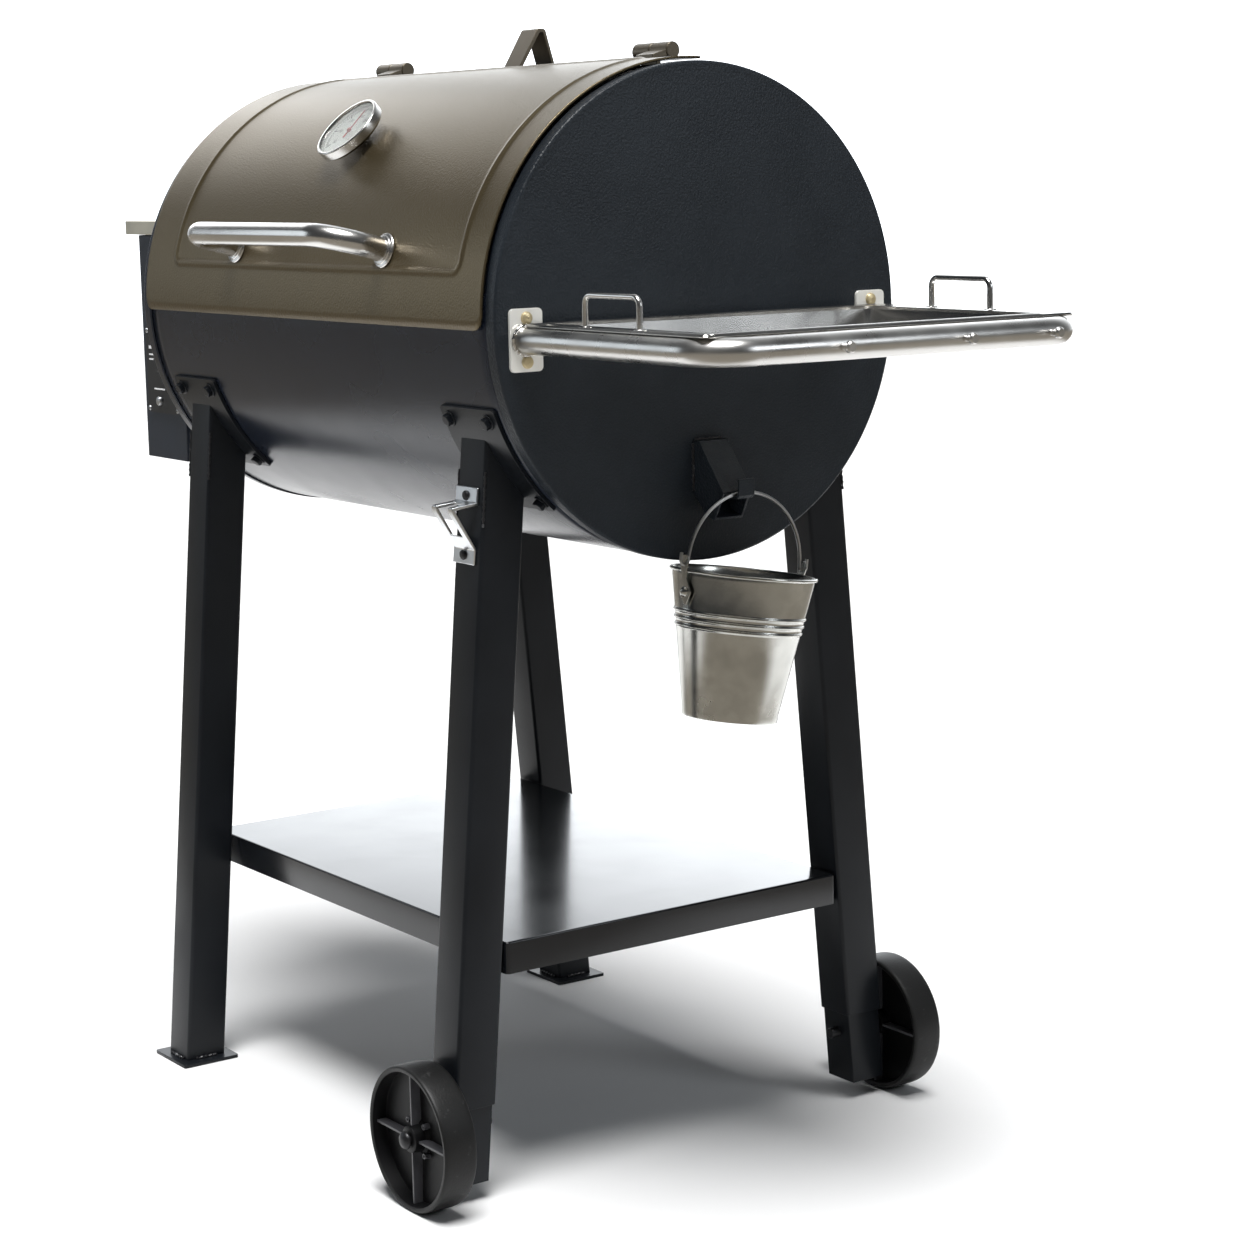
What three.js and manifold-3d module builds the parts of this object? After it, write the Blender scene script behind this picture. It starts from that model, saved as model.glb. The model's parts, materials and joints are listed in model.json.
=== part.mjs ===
// Pellet smoker grill: a horizontal barrel on four splayed legs, with a lift-up lid, a pellet hopper
// and auger drive on the left end, and a towel rail, serving tray, grease chute and bucket on the right.
// Millimetres, +Z up, +X towards the rail end, -Y towards the cook. Every solid is drawn about the
// barrel's own centre, and `place` moves it to stand on the ground with the whole grill centred.

import * as THREE from 'three';
import { mergeVertices } from 'three/addons/utils/BufferGeometryUtils.js';
import Module from 'manifold-3d';

const wasm = await Module();
wasm.setup();

// ---------------------------------------------------------------- driving dimensions
const GAP = 0.3;                    // clearance between touching parts

const CAP_R = 254;                  // 20 in end caps
const CAP_WALL = 1.5;
const CAP_FLANGE = 17;
const HALF_LENGTH = 387;            // barrel length is 774 over the caps
const SHELL_R = CAP_R - CAP_WALL - GAP;
const SHELL_WALL = 2.5;
const AXIS_Z = 910;                 // barrel centre above the ground
const ROUND = 48;                   // facets around the barrel

const LID_R = 259;
const LID_WALL = 2.5;
const LID_HALF = 369.5;
const LID_FRONT = -1.4;             // degrees above the horizontal, measured up from the front
const LID_REAR = 93;
const HANDLE_X = 14;                // handle and thermometer sit a little right of centre
const HINGE = { y: 30, z: 268, r: 9, xs: [-262, 270] };

const LEG = { x: 300.5, size: 50, wall: 2.5, out: 217.5, splay: 0.087 };
const FOOT = 4;                     // foot plate thickness
const RIGHT_LEG_END = 102;          // right tubes stop here and a sleeve carries the wheel
const SLEEVE_END = 20;
const WHEEL = { r: 77, width: 38, inner: 294 };
const SHELF = { z: -638.5, x: 325.5, y: 220.5, lip: 34, sheet: 2 };

const RAIL = { y: 222.5, z: -16, r: 13.5, x: 697, corner: 42 };
const TRAY = { x0: 404, x1: 668, y: 205, floor: -31, rim: -2.2, sheet: 1.5 };
const CHUTE = { y: 2, half: 18.3 };
const HOOK = { x: 441.8, y: 5, z: -179.6 };   // centre of the bail wire where it sits in the hook
const BUCKET = { r: 74, base: 48.5, height: 150, rim: -262, pivot: 8, lean: -8, wall: 1.2 };

const HOPPER = { x0: -580, x1: -396, neck: -470, y: 165, top: 76, step: -110, floor: -204, wall: 2 };
const HOPPER_LID = { x0: -592, x1: -391, y0: -177, y1: 164.2, z0: 77, z1: 94 };
const AUGER = { z: -150, y: 0, pitch: 42, r: 19, core: 6, x0: -519, x1: -50 };
const GRATE_Z = -22;

const railEnd = RAIL.x + RAIL.r;
const PEG = 13;                     // tool pegs stand out of the rail's end by this much
const BARREL_X = -(railEnd + PEG + HOPPER_LID.x0) / 2;   // centres the whole grill on X

// ---------------------------------------------------------------- materials
const paint = (color, roughness = 0.5, metalness = 0.2) =>
  new THREE.MeshStandardMaterial({ color, roughness, metalness });
const BLACK = paint(0x1b1d20, 0.55);
const BLUE_BLACK = paint(0x2a2f38, 0.42);
const BRONZE = paint(0x6b6353, 0.4, 0.6);
const GREY = paint(0x3b4048, 0.5);
const STAINLESS = paint(0xc4c6c8, 0.25, 1);
const GALVANISED = paint(0xb4b9bd, 0.35, 1);
const STEEL = paint(0x8e9296, 0.4, 1);
const ENAMEL = paint(0x141416, 0.35, 0.1);
const PLASTIC = paint(0x0e0f10, 0.5, 0);
const GLASS = paint(0xeef3f5, 0.05, 0);
const RED = paint(0xb02018, 0.5, 0);

// ---------------------------------------------------------------- geometry helpers
const rad = THREE.MathUtils.degToRad;
const V3 = (x, y, z) => new THREE.Vector3(x, y, z);

function box(x0, x1, y0, y1, z0, z1) {
  return new THREE.BoxGeometry(x1 - x0, y1 - y0, z1 - z0)
    .translate((x0 + x1) / 2, (y0 + y1) / 2, (z0 + z1) / 2);
}

// Turns geometry drawn along +Z so that it runs from point `a` towards point `b`.
function aim(geometry, a, b) {
  const turn = new THREE.Quaternion().setFromUnitVectors(V3(0, 0, 1), b.clone().sub(a).normalize());
  return geometry.applyQuaternion(turn).translate(a.x, a.y, a.z);
}

function rod(a, b, r, sides = 12, rEnd = r) {
  const length = a.distanceTo(b);
  const g = new THREE.CylinderGeometry(rEnd, r, length, sides).rotateX(Math.PI / 2).translate(0, 0, length / 2);
  return aim(g, a, b);
}

// A profile of [radius, height] points turned around +Z and then aimed from `a` towards `b`.
function turned(profile, a, b, sides = 24) {
  const points = profile.map(([r, h]) => new THREE.Vector2(r, h));
  return aim(new THREE.LatheGeometry(points, sides).rotateX(Math.PI / 2), a, b);
}

// An outline of [u, v] points extruded along one axis: along x it is (y, z), along y (x, z), along z (x, y).
function extrude(outline, from, to, axis, holes = []) {
  const shape = new THREE.Shape(outline.map(([u, v]) => new THREE.Vector2(u, v)));
  for (const hole of holes) shape.holes.push(new THREE.Path(hole.map(([u, v]) => new THREE.Vector2(u, v))));
  const g = new THREE.ExtrudeGeometry(shape, { depth: to - from, bevelEnabled: false });
  if (axis === 'z') return g.translate(0, 0, from);
  const m = new THREE.Matrix4();
  if (axis === 'x') m.makeBasis(V3(0, 1, 0), V3(0, 0, 1), V3(1, 0, 0)).setPosition(from, 0, 0);
  else m.makeBasis(V3(1, 0, 0), V3(0, 0, 1), V3(0, -1, 0)).setPosition(0, to, 0);
  return g.applyMatrix4(m);
}

// Points on a circle about the barrel axis; degrees run up from the front (-Y) over the top.
const onBarrel = (r, deg) => [-r * Math.cos(rad(deg)), r * Math.sin(rad(deg))];
function arc(r, a0, a1, n) {
  return Array.from({ length: n + 1 }, (_, i) => onBarrel(r, a0 + (a1 - a0) * i / n));
}
const circle = (r, n = ROUND) => Array.from({ length: n }, (_, i) => onBarrel(r, 360 * i / n)).reverse();
function bentSheet(r0, r1, a0, a1, x0, x1, n) {
  return extrude([...arc(r0, a0, a1, n), ...arc(r1, a1, a0, n)], x0, x1, 'x');
}

// A round bar swept along a list of points.
function bar(points, r, sides = 8) {
  const path = new THREE.CurvePath();
  for (let i = 1; i < points.length; i++) path.add(new THREE.LineCurve3(points[i - 1], points[i]));
  path.getPoint = t => {
    const k = Math.min(t * (points.length - 1), points.length - 1 - 1e-9);
    const i = Math.floor(k);
    return points[i].clone().lerp(points[i + 1], k - i);
  };
  path.getPointAt = path.getPoint;
  path.getTangentAt = t => {
    const k = t * (points.length - 1);
    const i = Math.round(k);
    const a = points[Math.max(i - 1, 0)], b = points[Math.min(i + 1, points.length - 1)];
    return b.clone().sub(a).normalize();
  };
  path.getTangent = path.getTangentAt;
  const section = new THREE.Shape(Array.from({ length: sides }, (_, i) => {
    const t = 2 * Math.PI * (i + 0.5) / sides;
    return new THREE.Vector2(r * Math.cos(t), r * Math.sin(t));
  }));
  return new THREE.ExtrudeGeometry(section, { steps: points.length - 1, extrudePath: path, bevelEnabled: false });
}

// Rounds the inner corners of a path with arcs of radius r.
function filleted(points, r, n = 5) {
  const out = [points[0]];
  for (let i = 1; i < points.length - 1; i++) {
    const a = points[i - 1].clone().sub(points[i]).normalize();
    const b = points[i + 1].clone().sub(points[i]).normalize();
    const half = a.angleTo(b) / 2;
    const start = points[i].clone().addScaledVector(a, r / Math.tan(half));
    const centre = points[i].clone().addScaledVector(a.clone().add(b).normalize(), r / Math.sin(half));
    const u = start.clone().sub(centre), w = u.clone().cross(a).normalize();
    for (let k = 0; k <= n; k++) {
      const turn = -(Math.PI - 2 * half) * k / n;
      const p = u.clone().applyAxisAngle(w, turn), q = u.clone().applyAxisAngle(w, -turn);
      const end = points[i].clone().addScaledVector(b, r / Math.tan(half)).sub(centre);
      const sign = u.clone().applyAxisAngle(w, -(Math.PI - 2 * half)).distanceTo(end) <
        u.clone().applyAxisAngle(w, Math.PI - 2 * half).distanceTo(end);
      out.push((sign ? p : q).add(centre));
    }
  }
  out.push(points.at(-1));
  return out;
}

// ---------------------------------------------------------------- booleans
function solid(geometry) {
  const bare = geometry.clone();
  for (const name of Object.keys(bare.attributes)) if (name !== 'position') bare.deleteAttribute(name);
  const g = mergeVertices(bare.index ? bare.toNonIndexed() : bare, 1e-3);
  return new wasm.Manifold(new wasm.Mesh({
    numProp: 3,
    vertProperties: new Float32Array(g.attributes.position.array),
    triVerts: new Uint32Array(g.index.array),
  }));
}
const join = (...gs) => gs.map(solid).reduce((a, b) => a.add(b));
const cut = (body, ...gs) => gs.reduce((a, g) => a.subtract(solid(g)), body.add ? body : solid(body));

// ---------------------------------------------------------------- scene graph
const group = new THREE.Group();
group.name = 'pellet_smoker_grill';

function place(name, material, shape) {
  let geometry = shape;
  if (shape.getMesh) {
    const mesh = shape.getMesh();
    geometry = new THREE.BufferGeometry();
    geometry.setAttribute('position', new THREE.BufferAttribute(mesh.vertProperties, 3));
    geometry.setIndex(new THREE.BufferAttribute(mesh.triVerts, 1));
    geometry = geometry.toNonIndexed();
    geometry.computeVertexNormals();
  }
  const part = new THREE.Mesh(geometry, material);
  part.name = name;
  part.position.set(BARREL_X, 0, AXIS_Z);
  group.add(part);
  return part;
}

// ---------------------------------------------------------------- barrel
const opening = bentSheet(SHELL_R - 20, SHELL_R + 20, 5, 86, -352, 352, 14);
const exhaustHole = box(-60, 60, 200, 260, 95, 135);
place('barrel_shell', BLUE_BLACK, cut(
  extrude(circle(SHELL_R), -HALF_LENGTH + 2.8, HALF_LENGTH - 2.8, 'x', [circle(SHELL_R - SHELL_WALL)]),
  opening, exhaustHole));

function cap(side) {
  const face = HALF_LENGTH * side, inner = (HALF_LENGTH - 2.5) * side, lip = (HALF_LENGTH - CAP_FLANGE) * side;
  const flange = extrude(circle(CAP_R), Math.min(face, lip), Math.max(face, lip), 'x');
  const well = extrude(circle(CAP_R - CAP_WALL), Math.min(inner, lip - side), Math.max(inner, lip - side), 'x');
  return cut(flange, well);
}
place('left_end_cap', BLUE_BLACK, cut(cap(-1), rod(V3(-400, 0, AUGER.z), V3(-370, 0, AUGER.z), 34.6, 24)));
place('right_end_cap', BLACK, cut(cap(1), box(370, 400, CHUTE.y - 14, CHUTE.y + 14, -170, -136)));

// The exhaust hood on the back of the barrel, open at the bottom.
place('rear_exhaust_hood', BLACK, cut(
  box(-75, 75, 222, 300, 82, 150), box(-73, 73, 200, 298, 70, 148),
  extrude(circle(SHELL_R + GAP), -100, 100, 'x')));

// ---------------------------------------------------------------- lid
place('lid', BRONZE, bentSheet(LID_R - LID_WALL, LID_R, LID_FRONT, LID_REAR, -LID_HALF, LID_HALF, 24));

const lidNormal = deg => V3(0, -Math.cos(rad(deg)), Math.sin(rad(deg)));
const lidPoint = (x, deg, out) => lidNormal(deg).multiplyScalar(LID_R + out).add(V3(x, 0, 0));

const HANDLE = { deg: 15.4, half: 162, reach: 66, r: 12.5 };
const handlePath = filleted([
  lidPoint(HANDLE_X - HANDLE.half, HANDLE.deg, 0.4), lidPoint(HANDLE_X - HANDLE.half, HANDLE.deg, HANDLE.reach),
  lidPoint(HANDLE_X + HANDLE.half, HANDLE.deg, HANDLE.reach), lidPoint(HANDLE_X + HANDLE.half, HANDLE.deg, 0.4),
], 42);
const collar = x => turned([[0, 0], [18, 0], [18, 2.5], [15, 4.5], [0, 4.5]],
  lidPoint(x, HANDLE.deg, 0.4), lidPoint(x, HANDLE.deg, 10), 20);
place('lid_handle', STAINLESS, join(bar(handlePath, HANDLE.r, 10),
  collar(HANDLE_X - HANDLE.half), collar(HANDLE_X + HANDLE.half)));

const DIAL = { deg: 45, r: 41 };
const dial = out => lidPoint(HANDLE_X, DIAL.deg, out);
place('thermometer_case', STAINLESS, turned(
  [[0, 0.4], [9, 0.4], [9, 6], [DIAL.r - 6, 6], [DIAL.r, 10], [DIAL.r, 21], [DIAL.r - 3.5, 21],
    [DIAL.r - 3.5, 13], [0, 13]], dial(0), dial(1), 28));
place('thermometer_glass', GLASS, turned([[0, 18], [DIAL.r - 3.9, 18], [DIAL.r - 3.9, 20], [0, 20]],
  dial(0), dial(1), 28));
const pointer = extrude([[-2.2, -10], [2.2, -10], [0.6, 30], [-0.6, 30]], 14.6, 15.6, 'z')
  .applyMatrix4(new THREE.Matrix4().makeBasis(V3(1, 0, 0), V3(0, Math.sin(rad(DIAL.deg)),
    Math.cos(rad(DIAL.deg))), lidNormal(DIAL.deg)).setPosition(lidPoint(HANDLE_X, DIAL.deg, 0)));
place('thermometer_needle', RED, pointer);

// Each hinge: a knuckle on the barrel with its welded pin, and a knuckle on the lid that turns on it.
HINGE.xs.forEach((x, i) => {
  const name = i ? 'right' : 'left';
  const at = dx => V3(x + dx, HINGE.y, HINGE.z);
  const bore = rod(at(-40), at(40), 4 + GAP, 12);
  const fixedLeaf = box(x - 30, x - 1, HINGE.y + 2, HINGE.y + 7.5, 240, HINGE.z);
  const lidLeaf = box(x + 1, x + 30, LID_R * 0.035, HINGE.y - 4, 255, 264);
  place(`hinge_barrel_knuckle_${name}`, BRONZE, cut(
    join(rod(at(-31), at(-0.3), HINGE.r, 16), rod(at(-30), at(30.5), 4, 12), fixedLeaf),
    extrude(circle(SHELL_R + 0.2), x - 60, x + 60, 'x')));
  place(`hinge_lid_knuckle_${name}`, BRONZE, cut(join(rod(at(0.3), at(31), HINGE.r, 16), lidLeaf), bore,
    extrude(circle(LID_R + 0.9), x - 60, x + 60, 'x')));
});

// A bent flat bar on the lid that lands on the barrel's back when the lid is fully open.
place('lid_stop_strap', BRONZE, extrude([
  [-2, LID_R + 0.5], [2.5, LID_R + 0.3], [27, 298], [31, 298], [42, 262], [46, 262.6], [34, 302], [24, 302],
], 26, 58, 'x'));

// ---------------------------------------------------------------- legs, shelf, wheels
const legFace = z => -(LEG.out - LEG.splay * z);          // front face of a front leg at height z
const depth = LEG.size * Math.hypot(1, LEG.splay);

// One splayed square tube, open at both ends; side -1 is the front pair and 1 the back pair.
function legTube(x, side, top, bottom, inset, wall) {
  const outline = (skin, past) => {
    const front = z => -side * (legFace(z) + skin), back = z => -side * (legFace(z) + depth - skin);
    const [z1, z0] = [top + past, bottom - past];
    return [[front(z1), z1], [front(z0), z0], [back(z0), z0], [back(z1), z1]];
  };
  const half = LEG.size / 2 - inset;
  return cut(extrude(outline(inset, 0), x - half, x + half, 'x'),
    extrude(outline(inset + wall, 9), x - half + wall, x + half - wall, 'x'));
}

const saddle = { r0: SHELL_R + GAP, r1: SHELL_R + GAP + 4, a0: -19.5, a1: -48.5, x0: -41, x1: 60 };
const corners = [['front_left', -1, -1], ['front_right', 1, -1], ['back_left', -1, 1], ['back_right', 1, 1]];
for (const [name, sx, sy] of corners) {
  const x = sx * LEG.x;
  const bottom = (sx < 0 ? FOOT / 2 : RIGHT_LEG_END) - AXIS_Z;
  const tube = cut(legTube(x, sy, -60, bottom, 0, LEG.wall),
    extrude(circle(saddle.r1 - 1), x - 60, x + 60, 'x'));

  // Curved saddle plate, welded to the tube and held to the barrel by three hex bolts.
  const bolt = (dx, deg) => {
    const [y, z] = onBarrel(1, deg);
    const a = V3(x + dx, -sy * y * saddle.r0, z * saddle.r0), b = V3(x + dx, -sy * y * 400, z * 400);
    return aim(new THREE.CylinderGeometry(7, 7, 10, 6).rotateX(Math.PI / 2).translate(0, 0, 5), a, b);
  };
  const sheet = bentSheet(saddle.r0, saddle.r1, saddle.a0, saddle.a1, x + saddle.x0, x + saddle.x1, 8);
  if (sy > 0) {
    sheet.applyMatrix4(new THREE.Matrix4().makeRotationZ(Math.PI))
      .translate(2 * x + saddle.x0 + saddle.x1, 0, 0);
  }
  const footY = sy * (-legFace(FOOT - AXIS_Z) - depth / 2);
  const foot = box(x - 40, x + 40, footY - 36, footY + 36, -AXIS_Z, FOOT - AXIS_Z);
  const bolts = [bolt(-27, -22.5), bolt(44, -22.5), bolt(50, -45.3)];
  const weldment = [sheet, ...bolts, ...(sx < 0 ? [foot] : [])];
  const drain = rod(V3(x, footY, -AXIS_Z - 5), V3(x, footY, 12 - AXIS_Z), 6);
  place(`leg_${name}`, BLACK, cut(tube.add(join(...weldment)), drain));
}

const flatPan = (x, y, z1, z0, t) => cut(box(-x, x, -y, y, z0, z1), box(t - x, x - t, t - y, y - t, z0 - 1, z1 - t));
place('bottom_shelf', BLACK, flatPan(SHELF.x, SHELF.y, SHELF.z, SHELF.z - SHELF.lip, SHELF.sheet));

for (const [name, sy] of [['front', -1], ['back', 1]]) {
  // The sleeve inside the right tube carries a stub axle; the wheel runs on its outer side.
  const hub = WHEEL.r - AXIS_Z;
  const outer = WHEEL.inner + WHEEL.width;
  const axis = y => V3(LEG.x, sy * y, hub);
  place(`wheel_sleeve_${name}`, BLACK, cut(
    legTube(LEG.x, sy, RIGHT_LEG_END + 60 - AXIS_Z, SLEEVE_END - AXIS_Z, LEG.wall + GAP, 2.5),
    rod(axis(200), axis(320), 6 + GAP, 16)));
  place(`stub_axle_${name}`, STEEL, join(
    rod(axis(231), axis(outer + 2), 6, 12), rod(axis(outer + 0.8), axis(outer + 7), 10, 6)));

  const { r, width } = WHEEL, h = width;
  const rim = turned([[6.3, 0], [13, 0], [13, 16], [r - 7, 16], [r - 7, 0], [r - 2, 0], [r, 5], [r, h - 5],
    [r - 2, h], [r - 7, h], [r - 7, 20], [13, 20], [13, h], [6.3, h], [6.3, 0]],
  axis(WHEEL.inner), axis(WHEEL.inner + 1), 28);
  const rib = turnBy => aim(box(12, r - 6, -1.6, 1.6, 19, h - 5).rotateZ(turnBy), axis(WHEEL.inner),
    axis(WHEEL.inner + 1));
  place(`wheel_${name}`, PLASTIC, join(rim, ...[0, 1, 2, 3].map(k => rib(k * Math.PI / 2))));
}

// Bottle opener on the front right leg: two tabs joined by a bent-out nose.
const face = z => legFace(z) - GAP;
place('bottle_opener', GALVANISED, cut(extrude([
  [face(-166), -166], [face(-184), -184], [face(-184) - 28, -187], [face(-226), -228], [face(-244), -244],
  [face(-244) - 2.5, -244], [face(-226) - 2.5, -229], [face(-184) - 31, -189], [face(-184) - 31, -184],
  [face(-184) - 2.5, -181], [face(-166) - 2.5, -166],
], 277, 317, 'x'), box(286, 308, -300, face(-184) - 8, -215, -170)));

// ---------------------------------------------------------------- rail, tray
const railPath = filleted([
  V3(HALF_LENGTH + 2, -RAIL.y, RAIL.z), V3(RAIL.x, -RAIL.y, RAIL.z),
  V3(RAIL.x, RAIL.y, RAIL.z), V3(HALF_LENGTH + 2, RAIL.y, RAIL.z)], RAIL.corner, 5);
const bracket = sy => {
  const y = sy * (RAIL.y - 3), z = RAIL.z, x = HALF_LENGTH + GAP;
  const head = dz => rod(V3(x + 1, y, z + dz), V3(x + 7, y, z + dz), 5.5, 6);
  return [box(x, x + 3.3, y - 19, y + 19, z - 31, z + 31), head(21.5), head(-21.5)];
};
const peg = y => turned([[0, -4], [3, -4], [3, 6], [5.5, 8], [5.5, PEG - 1], [0, PEG]],
  V3(railEnd, y, RAIL.z), V3(railEnd + 1, y, RAIL.z), 12);
place('side_rail', STAINLESS, join(bar(railPath, RAIL.r, 12), ...bracket(-1), ...bracket(1),
  ...[-85, 65, 176].map(peg)));

const T = TRAY;
place('serving_tray', STAINLESS, cut(join(
  box(T.x0, T.x1, -T.y, T.y, T.floor, T.rim + T.sheet / 2),
  box(T.x0 - 6, T.x1 + 20, -T.y - 22, T.y + 22, T.rim, T.rim + T.sheet)),
box(T.x0 + T.sheet, T.x1 - T.sheet, T.sheet - T.y, T.y - T.sheet, T.floor + T.sheet, T.rim + 9)));
for (const [name, sy] of [['front', -1], ['back', 1]]) {
  const y = sy * (T.y + 13), z = T.rim + T.sheet + GAP, x = 534;
  place(`tray_handle_${name}`, STAINLESS, bar(filleted(
    [V3(x - 44, y, z), V3(x - 44, y, z + 31), V3(x + 44, y, z + 31), V3(x + 44, y, z)], 9, 3), 3, 8));
}

// ---------------------------------------------------------------- grease chute, bucket
const cx = HALF_LENGTH + GAP;
const chute = cut(extrude([
  [cx, -129], [cx + 10, -129], [437, -179], [421, -208.5], [408, -205.5], [cx, -183]],
CHUTE.y - CHUTE.half, CHUTE.y + CHUTE.half, 'y'),
extrude([[cx - 5, -131.5], [cx + 8.8, -131.5], [441.5, -188.8], [433.3, -208.8], [409.2, -202.9], [cx - 5, -173.8]],
  CHUTE.y - CHUTE.half + 2.5, CHUTE.y + CHUTE.half - 2.5, 'y'));
const hook = extrude([
  [433.5, -176.6], [437.6, -185.4], [446, -185.4], [450, -181.9], [450, -165], [447.6, -165], [447.6, -181],
  [445, -183], [439.3, -183], [436.8, -177.6]], HOOK.y - 11, HOOK.y + 9, 'y');
place('grease_chute', BLACK, chute.add(solid(hook)));

// The bucket hangs a little askew because its bail has slid along the hook.
const lean = new THREE.Matrix4().makeRotationX(rad(BUCKET.lean));
const hang = g => g.applyMatrix4(lean).translate(HOOK.x, HOOK.y, BUCKET.rim);
const B = BUCKET, side = z => B.base + (B.r - B.base) * (z + B.height) / B.height;
place('grease_bucket', GALVANISED, join(
  hang(turned([[0, -B.height], [B.base, -B.height], [side(-58), -58], [side(-58) + 1, -52], [side(-40) + 1, -40],
    [side(-34), -34], [B.r - 1, -5], [B.r + 2.2, -3], [B.r + 2.2, 1], [B.r - B.wall, 1], [side(-60) - B.wall, -60],
    [B.base - B.wall, B.wall - B.height], [0, B.wall - B.height]], V3(0, 0, 0), V3(0, 0, 1), 24)),
  ...[-1, 1].map(s => hang(box(-7, 7, s * 76 - 1.2, s * 76 + 1.2, -20, 12)))));
const bailTop = HOOK.z - B.rim - B.pivot;
place('bucket_bail', STEEL, hang(bar(Array.from({ length: 19 }, (_, i) => {
  const t = Math.PI * i / 18;
  return V3(0, -72.5 * Math.cos(t), bailTop * Math.sin(t) + B.pivot);
}), 1.8, 6)));

// ---------------------------------------------------------------- hopper
const H = HOPPER;
const hopperOutline = (t, top) => [[H.x0 + t, H.floor + t], [H.neck - t, H.floor + t], [H.neck - t, H.step + t],
  [H.x1 - t, H.step + t], [H.x1 - t, top], [H.x0 + t, top]];
place('hopper_shell', GREY, cut(
  extrude(hopperOutline(0, H.top), -H.y, H.y, 'y'),
  extrude(hopperOutline(H.wall, H.top + 5), H.wall - H.y, H.y - H.wall, 'y'),
  rod(V3(H.neck - 10, 0, AUGER.z), V3(H.neck + 10, 0, AUGER.z), 24.8, 24)));

const L = HOPPER_LID;
place('hopper_lid', BRONZE, cut(box(L.x0, L.x1, L.y0, L.y1, L.z0, L.z1),
  box(L.x0 + 2, L.x1 - 2, L.y0 + 2, L.y1 - 1.6, L.z0 - 1, L.z1 - 2)));
place('hopper_lid_hinge', STEEL, join(rod(V3(-570, 170, 82), V3(-410, 170, 82), 4, 12),
  box(-560, -535, H.y + GAP, 168, 40, 84), box(-445, -420, H.y + GAP, 168, 40, 84)));

place('control_panel', PLASTIC, cut(
  box(-564, -476, -H.y - 4.3, -H.y - GAP, -146, -38),
  rod(V3(-502, -H.y - 12, -80), V3(-502, -H.y + 9, -80), 4.4, 16),
  rod(V3(-530, -H.y - 12, -131), V3(-530, -H.y - 0.1, -131), 6.4, 16)));
place('feed_knob', PLASTIC, join(
  turned([[0, 4.7], [15, 4.7], [14, 9], [12.5, 20], [0, 20]], V3(-502, -H.y, -80), V3(-502, -H.y - 1, -80), 20),
  rod(V3(-502, -H.y - 0.5, -80), V3(-502, -H.y - 6, -80), 4, 12)));
place('power_button', STEEL, turned([[0, 3.3], [6, 3.3], [6, 7.4], [5.2, 8.2], [0, 8.2]],
  V3(-530, -H.y, -131), V3(-530, -H.y - 1, -131), 16));
place('power_inlet', PLASTIC, cut(box(-560, -530, H.y + GAP, H.y + 12, -180, -156),
  box(-556, -534, H.y + 3, H.y + 13, -176, -160)));
const slots = (x0, x1, y0, y1, z0, z1, pitch, width) => Array.from(
  { length: Math.floor((x1 - x0) / pitch) }, (_, i) => box(x0 + i * pitch, x0 + i * pitch + width, y0, y1, z0, z1));
place('hopper_safety_grate', STEEL, cut(box(-577.5, -398.5, -162.5, 162.5, 30, 33),
  ...slots(-568, -400, -150, 150, 28, 35, 24, 16)));

// The funnel narrows from the hopper walls to the auger's inlet.
function funnel(t) {
  const g = new THREE.BoxGeometry(1, 1, 1), p = g.attributes.position;
  for (let i = 0; i < p.count; i++) {
    const up = p.getZ(i) > 0, sx = Math.sign(p.getX(i)), sy = Math.sign(p.getY(i));
    const middle = up ? -488 : -501, hx = up ? 88 - t : 19 - t, hy = up ? 161 - t : 22 - t;
    p.setXYZ(i, middle + sx * hx, sy * hy, up ? 20 + (t ? 1 : 0) : -124 - (t ? 1 : 0));
  }
  return g;
}
place('hopper_funnel', STEEL, cut(funnel(0), funnel(2)));

// ---------------------------------------------------------------- auger, fan, fire pot
const along = x => V3(x, AUGER.y, AUGER.z);
const pipe = (r0, r1, x0, x1, n = 20) => cut(rod(along(x0), along(x1), r1, n), rod(along(x0 - 5), along(x1 + 5), r0, n));
place('auger_tube', STEEL, cut(pipe(21.5, 24, -517, -47), box(-512, -478, -16, 16, AUGER.z + 10, AUGER.z + 30)));
place('burner_duct', STEEL, pipe(31, 34, H.neck + GAP, -49));

// The flight is drawn as one tilted disc for each turn of the screw.
const turnAt = x => rod(V3(x - 1.4, 0, AUGER.z - 0.6), V3(x + 1.4, 0, AUGER.z + 0.6), AUGER.r - 1, 14);
place('auger', STEEL, join(rod(along(AUGER.x0), along(AUGER.x1), AUGER.core, 10),
  ...Array.from({ length: 11 }, (_, i) => turnAt(AUGER.x0 + 20 + i * AUGER.pitch))));
place('auger_motor', STEEL, cut(join(box(-574, -532, -30, 30, AUGER.z - 30, AUGER.z + 22),
  rod(along(-533), along(-522), 14, 16)), rod(along(-530), along(-510), AUGER.core + GAP, 16)));

const fanAt = x => V3(x, 100, AUGER.z - 4);
place('fan_housing', PLASTIC, cut(rod(fanAt(-560), fanAt(-520), 44, 24), rod(fanAt(-557), fanAt(-515), 41, 24)));
const blade = k => box(6, 36, -1, 1, -551, -525).applyMatrix4(new THREE.Matrix4()
  .makeBasis(V3(0, Math.cos(k), Math.sin(k)), V3(0, -Math.sin(k), Math.cos(k)), V3(1, 0, 0))
  .setPosition(0, 100, AUGER.z - 4));
place('fan_impeller', PLASTIC, join(rod(fanAt(-553), fanAt(-523), 8, 12), rod(fanAt(-554), fanAt(-551), 37, 24),
  ...[0, 1, 2, 3, 4, 5].map(k => blade(k * Math.PI / 3))));

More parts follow.
